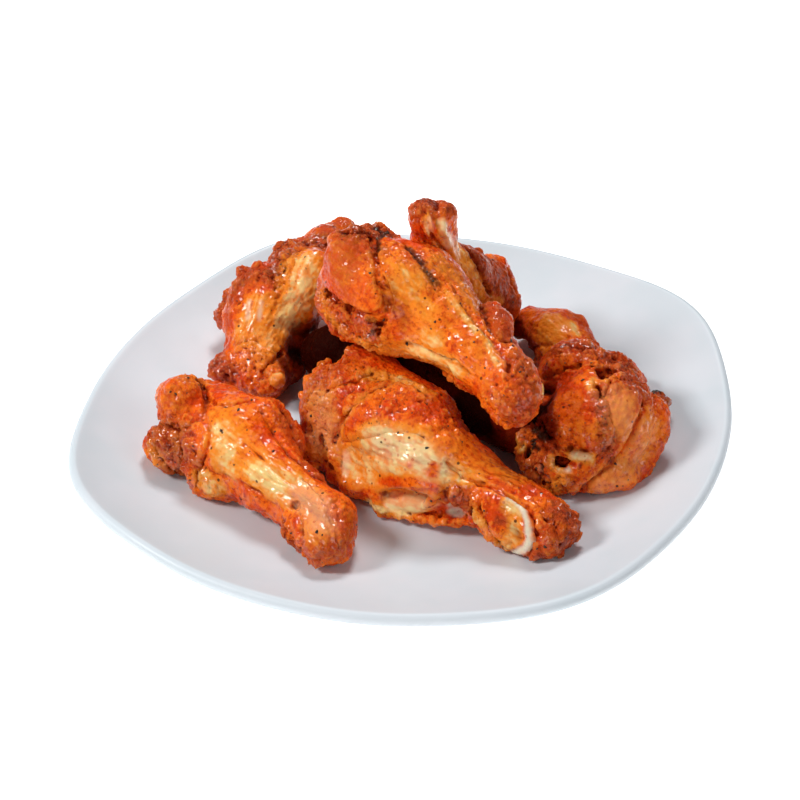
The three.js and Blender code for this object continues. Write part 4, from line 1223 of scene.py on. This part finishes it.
def lip_point(degrees):
    """A point of the round lip, as [share of the radius, height]."""
    turn = math.radians(degrees)
    return (1 - LIP_RADIUS / PLATE_RADIUS * (1 - math.cos(turn)),
            RIM_HEIGHT - LIP_RADIUS + LIP_RADIUS * math.sin(turn))


def plate_top(share):
    """The height of the plate's upper side at a share of the radius."""
    lip_start, lip_height = lip_point(LIP_TURN)
    out = np.maximum(0, (share - FLOOR_SHARE) / (lip_start - FLOOR_SHARE))
    return FLOOR_HEIGHT + (lip_height - FLOOR_HEIGHT) * out ** RISE_POWER


def plate_section():
    """The plate's section as [share of the radius, height], from the middle of its top round to its foot."""
    section = [(s, plate_top(s)) for s in np.concatenate([
        np.linspace(CENTRE_SHARE, FLOOR_SHARE, 12), np.linspace(*BOWL_SHARES, 28)])]
    section += [lip_point(turn) for turn in np.linspace(LIP_TURN, LIP_TURN - LIP_SWEEP, 15)]
    section += [(s, plate_top(s) - PLATE_THICKNESS) for s in np.linspace(*UNDER_SHARES, 20)]
    (foot_out, foot_in), (inset, rise) = FOOT_SHARES, FOOT_ROUND
    section += FOOT_FILLET + [
        (foot_out, rise), (foot_out - inset, 0.0), (foot_in + inset, 0.0), (foot_in, rise),
        (foot_in - 0.008, FOOT_RECESS / 2)]
    section += [(s, FOOT_RECESS) for s in np.linspace(foot_in - 0.02, CENTRE_SHARE, 8)]
    return np.array(section)


def plate():
    """The glazed plate: rings of its section, closed in the middle of its top and of its foot."""
    angle = np.linspace(0, 2 * math.pi, PLATE_SEGMENTS, endpoint=False)
    fourth, eighth, twelfth = CORNER_SWELL
    outline = PLATE_RADIUS * (1 - fourth * np.cos(4 * angle) + eighth * np.cos(8 * angle)
                              - twelfth * np.cos(12 * angle))
    section = plate_section()
    share, height = section[:, :1], section[:, 1:]
    out = np.maximum(0, (share - FOOT_SHARES[0]) / (1 - FOOT_SHARES[0]))
    lift = out ** 2 * (CORNER_LIFT[1] * np.cos(8 * angle) - CORNER_LIFT[0] * np.cos(4 * angle))
    rings = np.stack([share * outline * np.cos(angle), share * outline * np.sin(angle),
                      height + lift], 2)
    points = np.concatenate([rings.reshape(-1, 3), [[0, 0, FLOOR_HEIGHT], [0, 0, FOOT_RECESS]]])
    here = np.arange(PLATE_SEGMENTS)
    after = (here + 1) % PLATE_SEGMENTS
    inner = np.arange(len(section) - 1)[:, None] * PLATE_SEGMENTS
    outer = inner + PLATE_SEGMENTS
    quads = np.stack([inner + here, outer + here, outer + after, inner + after], 2)
    piece = add_piece("plate_glazed", points, quads.reshape(-1, 4), porcelain())
    last = (len(section) - 1) * PLATE_SEGMENTS
    work = bmesh.new()
    work.from_mesh(piece.data)
    work.verts.ensure_lookup_table()
    top, bottom = work.verts[len(points) - 2], work.verts[len(points) - 1]
    for i, j in zip(here.tolist(), after.tolist()):
        work.faces.new((top, work.verts[i], work.verts[j])).smooth = True
        work.faces.new((bottom, work.verts[last + j], work.verts[last + i])).smooth = True
    work.to_mesh(piece.data)
    work.free()
    return piece


# ---- flakes of pepper and herbs -----------------------------------------------------------------
# Each flake that the photograph shows is [x, y, its size in millimetres].

FLAKES = {
    "wing_left": [
        (188, 378, 1.3), (196, 380, 1.0), (170, 392, 1.1), (176, 394, 1.2), (187, 393, 0.6),
        (238, 410, 1.4), (252, 400, 1.1), (265, 405, 0.9), (221, 431, 1.2), (234, 465, 0.9),
        (273, 451, 1.3), (247, 430, 0.7), (264, 427, 0.7), (275, 432, 0.9), (309, 471, 1.0),
        (210, 471, 0.6), (214, 495, 0.5), (256, 497, 0.6), (291, 533, 1.3), (317, 532, 1.3),
        (322, 535, 0.9), (356, 525, 1.1), (287, 400, 0.6), (285, 428, 0.6), (152, 433, 0.7),
        (193, 446, 1.0), (175, 462, 1.0), (190, 480, 0.9), (322, 503, 0.5),
    ],
    "wing_front": [
        (384, 399, 1.0), (427, 404, 0.9), (412, 413, 0.6), (441, 407, 0.5), (338, 435, 1.3),
        (427, 448, 1.3), (311, 416, 1.2), (322, 378, 0.7), (320, 390, 0.5), (431, 501, 1.1),
        (448, 426, 0.9), (454, 425, 0.6), (462, 442, 0.9), (358, 438, 0.6), (484, 511, 1.0),
        (545, 547, 1.4), (537, 549, 0.9), (519, 488, 0.6), (398, 433, 1.0), (378, 382, 0.8),
        (345, 425, 0.8), (407, 450, 0.5), (367, 467, 0.5), (566, 538, 1.0), (496, 495, 0.6),
        (403, 434, 0.5), (440, 499, 0.8), (346, 482, 0.8),
    ],
    "wing_top": [
        (377, 229, 1.5), (388, 233, 1.9), (377, 239, 1.4), (371, 248, 1.1), (402, 237, 0.6),
        (434, 246, 0.6), (370, 273, 1.0), (379, 282, 0.8), (435, 322, 1.1), (431, 329, 0.8),
        (445, 328, 0.5), (407, 344, 1.6), (484, 303, 1.1), (520, 372, 1.2), (521, 367, 0.9),
        (485, 368, 0.8), (474, 342, 0.9), (511, 341, 1.3), (513, 346, 1.2), (507, 421, 0.8),
        (504, 395, 0.6), (486, 399, 0.7), (433, 281, 1.0), (435, 290, 0.6), (448, 309, 0.5),
        (427, 272, 0.9), (326, 282, 0.7), (325, 292, 0.7), (352, 314, 0.9), (356, 318, 0.8),
        (384, 320, 1.0), (386, 272, 0.6), (449, 268, 0.5), (454, 274, 0.4), (462, 345, 0.6),
    ],
    "wing_right": [
        (583, 380, 1.6), (591, 363, 0.8), (602, 417, 1.0), (605, 419, 0.8), (615, 464, 1.2),
        (617, 486, 1.3), (547, 364, 1.1), (565, 363, 0.7), (569, 405, 0.7), (585, 423, 0.5),
        (573, 438, 0.5), (607, 425, 0.5), (628, 480, 0.7), (623, 486, 0.7), (636, 376, 0.5),
        (530, 454, 1.6), (535, 444, 1.3), (537, 469, 1.4), (535, 430, 1.2), (556, 486, 1.3),
        (548, 483, 1.2), (654, 393, 1.5), (566, 345, 0.9), (584, 346, 0.9), (602, 458, 0.8),
        (650, 410, 0.5), (614, 437, 0.6), (559, 416, 0.8), (552, 420, 0.8),
    ],
    "wing_right_back": [(547, 352, 0.6), (538, 330, 0.4), (571, 331, 0.4)],
    "wing_back_left": [
        (318, 227, 1.0), (326, 238, 0.9), (305, 257, 0.9), (306, 268, 0.7), (279, 356, 1.6),
        (263, 373, 0.9), (237, 301, 0.8), (222, 362, 0.7), (232, 380, 0.6), (281, 265, 1.5),
        (252, 353, 0.6), (280, 346, 0.7), (288, 254, 0.9),
    ],
    "wing_back": [
        (481, 304, 1.2), (513, 302, 0.9), (493, 260, 1.2), (455, 246, 0.7), (470, 258, 0.8),
        (500, 322, 0.5), (512, 345, 1.0),
    ],
}
STRAY_FLAKES = 46  # on each wing, where the photograph doesn't look
STRAY_SIZES = (0.45, 1.0)  # the smallest stray flake, and how much more the largest has
AWAY = -0.05  # skin whose normal looks away from the camera more than this doesn't show
FLAKE_SIDES = 6
FLAKE_REACH = (0.32, 0.62)  # a flake's corners from its middle, in its sizes
FLAKE_CURL = (-0.10, 0.12)
FLAKE_NARROWNESS = 0.75
FLAKE_MIDDLES = (0.24, -0.3)  # the heights of its two middles
FLAKE_LIFT = 0.05


def flake_shape(chance, size):
    """A small crumpled flake round the origin, flat along Z."""
    turn = np.sort(chance.random(FLAKE_SIDES)) * 2 * math.pi
    turn = (turn + np.arange(FLAKE_SIDES) * 2 * math.pi / FLAKE_SIDES) / 2
    far = size * chance.uniform(*FLAKE_REACH, FLAKE_SIDES)
    rim = np.stack([far * np.cos(turn), far * np.sin(turn) * FLAKE_NARROWNESS,
                    size * chance.uniform(*FLAKE_CURL, FLAKE_SIDES)], 1)
    middles = [[0, 0, size * height] for height in FLAKE_MIDDLES]
    faces = []
    for i in range(FLAKE_SIDES):
        j = (i + 1) % FLAKE_SIDES
        faces += [(i, j, FLAKE_SIDES), (j, i, FLAKE_SIDES + 1)]
    return np.concatenate([rim, middles]), np.array(faces)


def scatter_flakes(name, skin, seen, seed, material):
    """The flakes on one wing: those that the photograph shows and others on the rest of it."""
    chance = np.random.default_rng(seed)
    tree = BVHTree.FromPolygons(skin.points.tolist(), skin.quads.tolist())
    spots = []
    for x, y, size in seen:
        hit, normal, _, _ = tree.ray_cast(Vector(EYE), Vector(sight(x, y)))
        if hit is not None:
            spots.append((np.array(hit), np.array(normal), size))
    hidden = np.flatnonzero(skin.normals @ FORWARD > AWAY)
    smallest, spread = STRAY_SIZES
    for i in chance.choice(hidden, STRAY_FLAKES, replace=False):
        spots.append((skin.points[i], skin.normals[i], smallest + spread * chance.random() ** 2))
    points, faces, count = [], [], 0
    for where, normal, size in spots:
        shape, shape_faces = flake_shape(chance, size)
        side = np.cross(normal, chance.normal(size=3))
        side /= np.linalg.norm(side)
        axes = np.stack([side, np.cross(normal, side), normal])
        points.append(shape @ axes + where + normal * size * FLAKE_LIFT)
        faces.append(shape_faces + count)
        count += len(shape)
    return add_piece(name, np.concatenate(points), np.concatenate(faces), material)


# ---- the serving --------------------------------------------------------------------------------


def make_wing(node, base, strokes, material, herbs):
    """A wing's skin, which stands for its CAD solid, and the flakes on it."""
    body = Body(node, base.get("voxel", VOXEL))
    listed = []
    for stroke in strokes.values():
        listed += stroke if isinstance(stroke, list) else [stroke]
    for kind, *values in listed:
        if kind == "body":
            body.shape(*values)
    skin = Skin(body, base["seed"])
    skin.bake(base)
    for kind, *values in listed:
        if kind == "relief":
            skin.relief(*values)
        elif kind == "paint":
            skin.paint(*values)
    skin.renew()
    skin.crisp()
    piece = add_piece(node + "_skin", skin.points, skin.quads, material, skin.layers)
    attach(piece, "root")
    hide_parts(node)
    flakes = scatter_flakes(node + "_herbs", skin, FLAKES.get(node, []), base["seed"], herbs)
    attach(flakes, "root")


glazed = plate()
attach(glazed, "root")
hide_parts("plate")

skin_material = baked_skin()
herb_material = dark_herb()
for wing_name, (wing_base, wing_strokes) in WINGS.items():
    make_wing(wing_name, wing_base, wing_strokes, skin_material, herb_material)

# ---- the stage ----------------------------------------------------------------------------------

FLOOR_SPAN = 3000.0
FLOOR_DROP = -0.05
WHITE = (1.0, 1.0, 1.0)
COOL = (0.98, 0.99, 1.0)


def floor():
    """The pale ground under the plate."""
    g = Graph("floor")
    shade = g.mix(g.span(g.noise(g.place(), 400.0), 0.4, 0.6), rgb(250, 250, 250), rgb(252, 252, 252))
    material = g.finish(Base_Color=shade, Roughness=0.8, Specular_IOR_Level=0.1,
                        Emission_Color=(*WHITE, 1.0), Emission_Strength=0.62)
    corners = [(-1, -1), (1, -1), (1, 1), (-1, 1)]
    points = np.array([[x * FLOOR_SPAN, y * FLOOR_SPAN, FLOOR_DROP] for x, y in corners])
    piece = add_piece("floor", points, np.array([[0, 1, 2, 3]]), material)


def lamp(name, toward, far, size, power, colour):
    """A soft square light that looks at the plate from a direction [right, away, up] of the view."""
    right, away = (np.array([v[0], v[1], 0]) / math.hypot(v[0], v[1]) for v in (RIGHT, FORWARD))
    way = right * toward[0] + away * toward[1] + np.array([0, 0, 1]) * toward[2]
    way /= np.linalg.norm(way)
    data = bpy.data.lights.new(name, "AREA")
    data.shape = "SQUARE"
    data.size = size
    data.energy = power
    data.color = colour
    light = bpy.data.objects.new(name, data)
    light.location = Vector(way * far)
    light.rotation_euler = Vector(way).to_track_quat("Z", "Y").to_euler()
    bpy.context.scene.collection.objects.link(light)


floor()
lamp("key", (-0.75, -0.15, 0.75), 1.0, 0.25, 5.9, (1.0, 1.0, 0.99))
lamp("overhead", (0.1, 0.6, 1.0), 1.2, 0.33, 7.1, COOL)
lamp("fill", (0.8, -0.6, 0.7), 1.2, 0.50, 1.9, COOL)
lamp("front", (-0.25, -1.0, 0.45), 1.2, 0.45, 2.0, WHITE)

world = bpy.data.worlds.new("studio")
world.use_nodes = True
surround = world.node_tree.nodes["Background"]
surround.inputs["Color"].default_value = (0.95, 0.97, 1.0, 1.0)
surround.inputs["Strength"].default_value = 0.10
bpy.context.scene.world = world
bpy.context.scene.view_settings.view_transform = "Standard"

lens = bpy.data.cameras.new("photo_view")
lens.sensor_width = SENSOR
lens.lens = VIEW_FOCAL / PHOTO_SIDE * SENSOR
lens.shift_x = (PHOTO_SIDE / 2 - TARGET_PIXEL[0]) / PHOTO_SIDE
lens.shift_y = (TARGET_PIXEL[1] - PHOTO_SIDE / 2) / PHOTO_SIDE
lens.clip_start = 0.01
camera = bpy.data.objects.new("photo_view", lens)
turned = np.stack([RIGHT, UP, -FORWARD], 1)
camera.matrix_world = Matrix.Translation(Vector(EYE * MM)) @ Matrix(turned.tolist()).to_4x4()
bpy.context.scene.collection.objects.link(camera)
bpy.context.scene.camera = camera
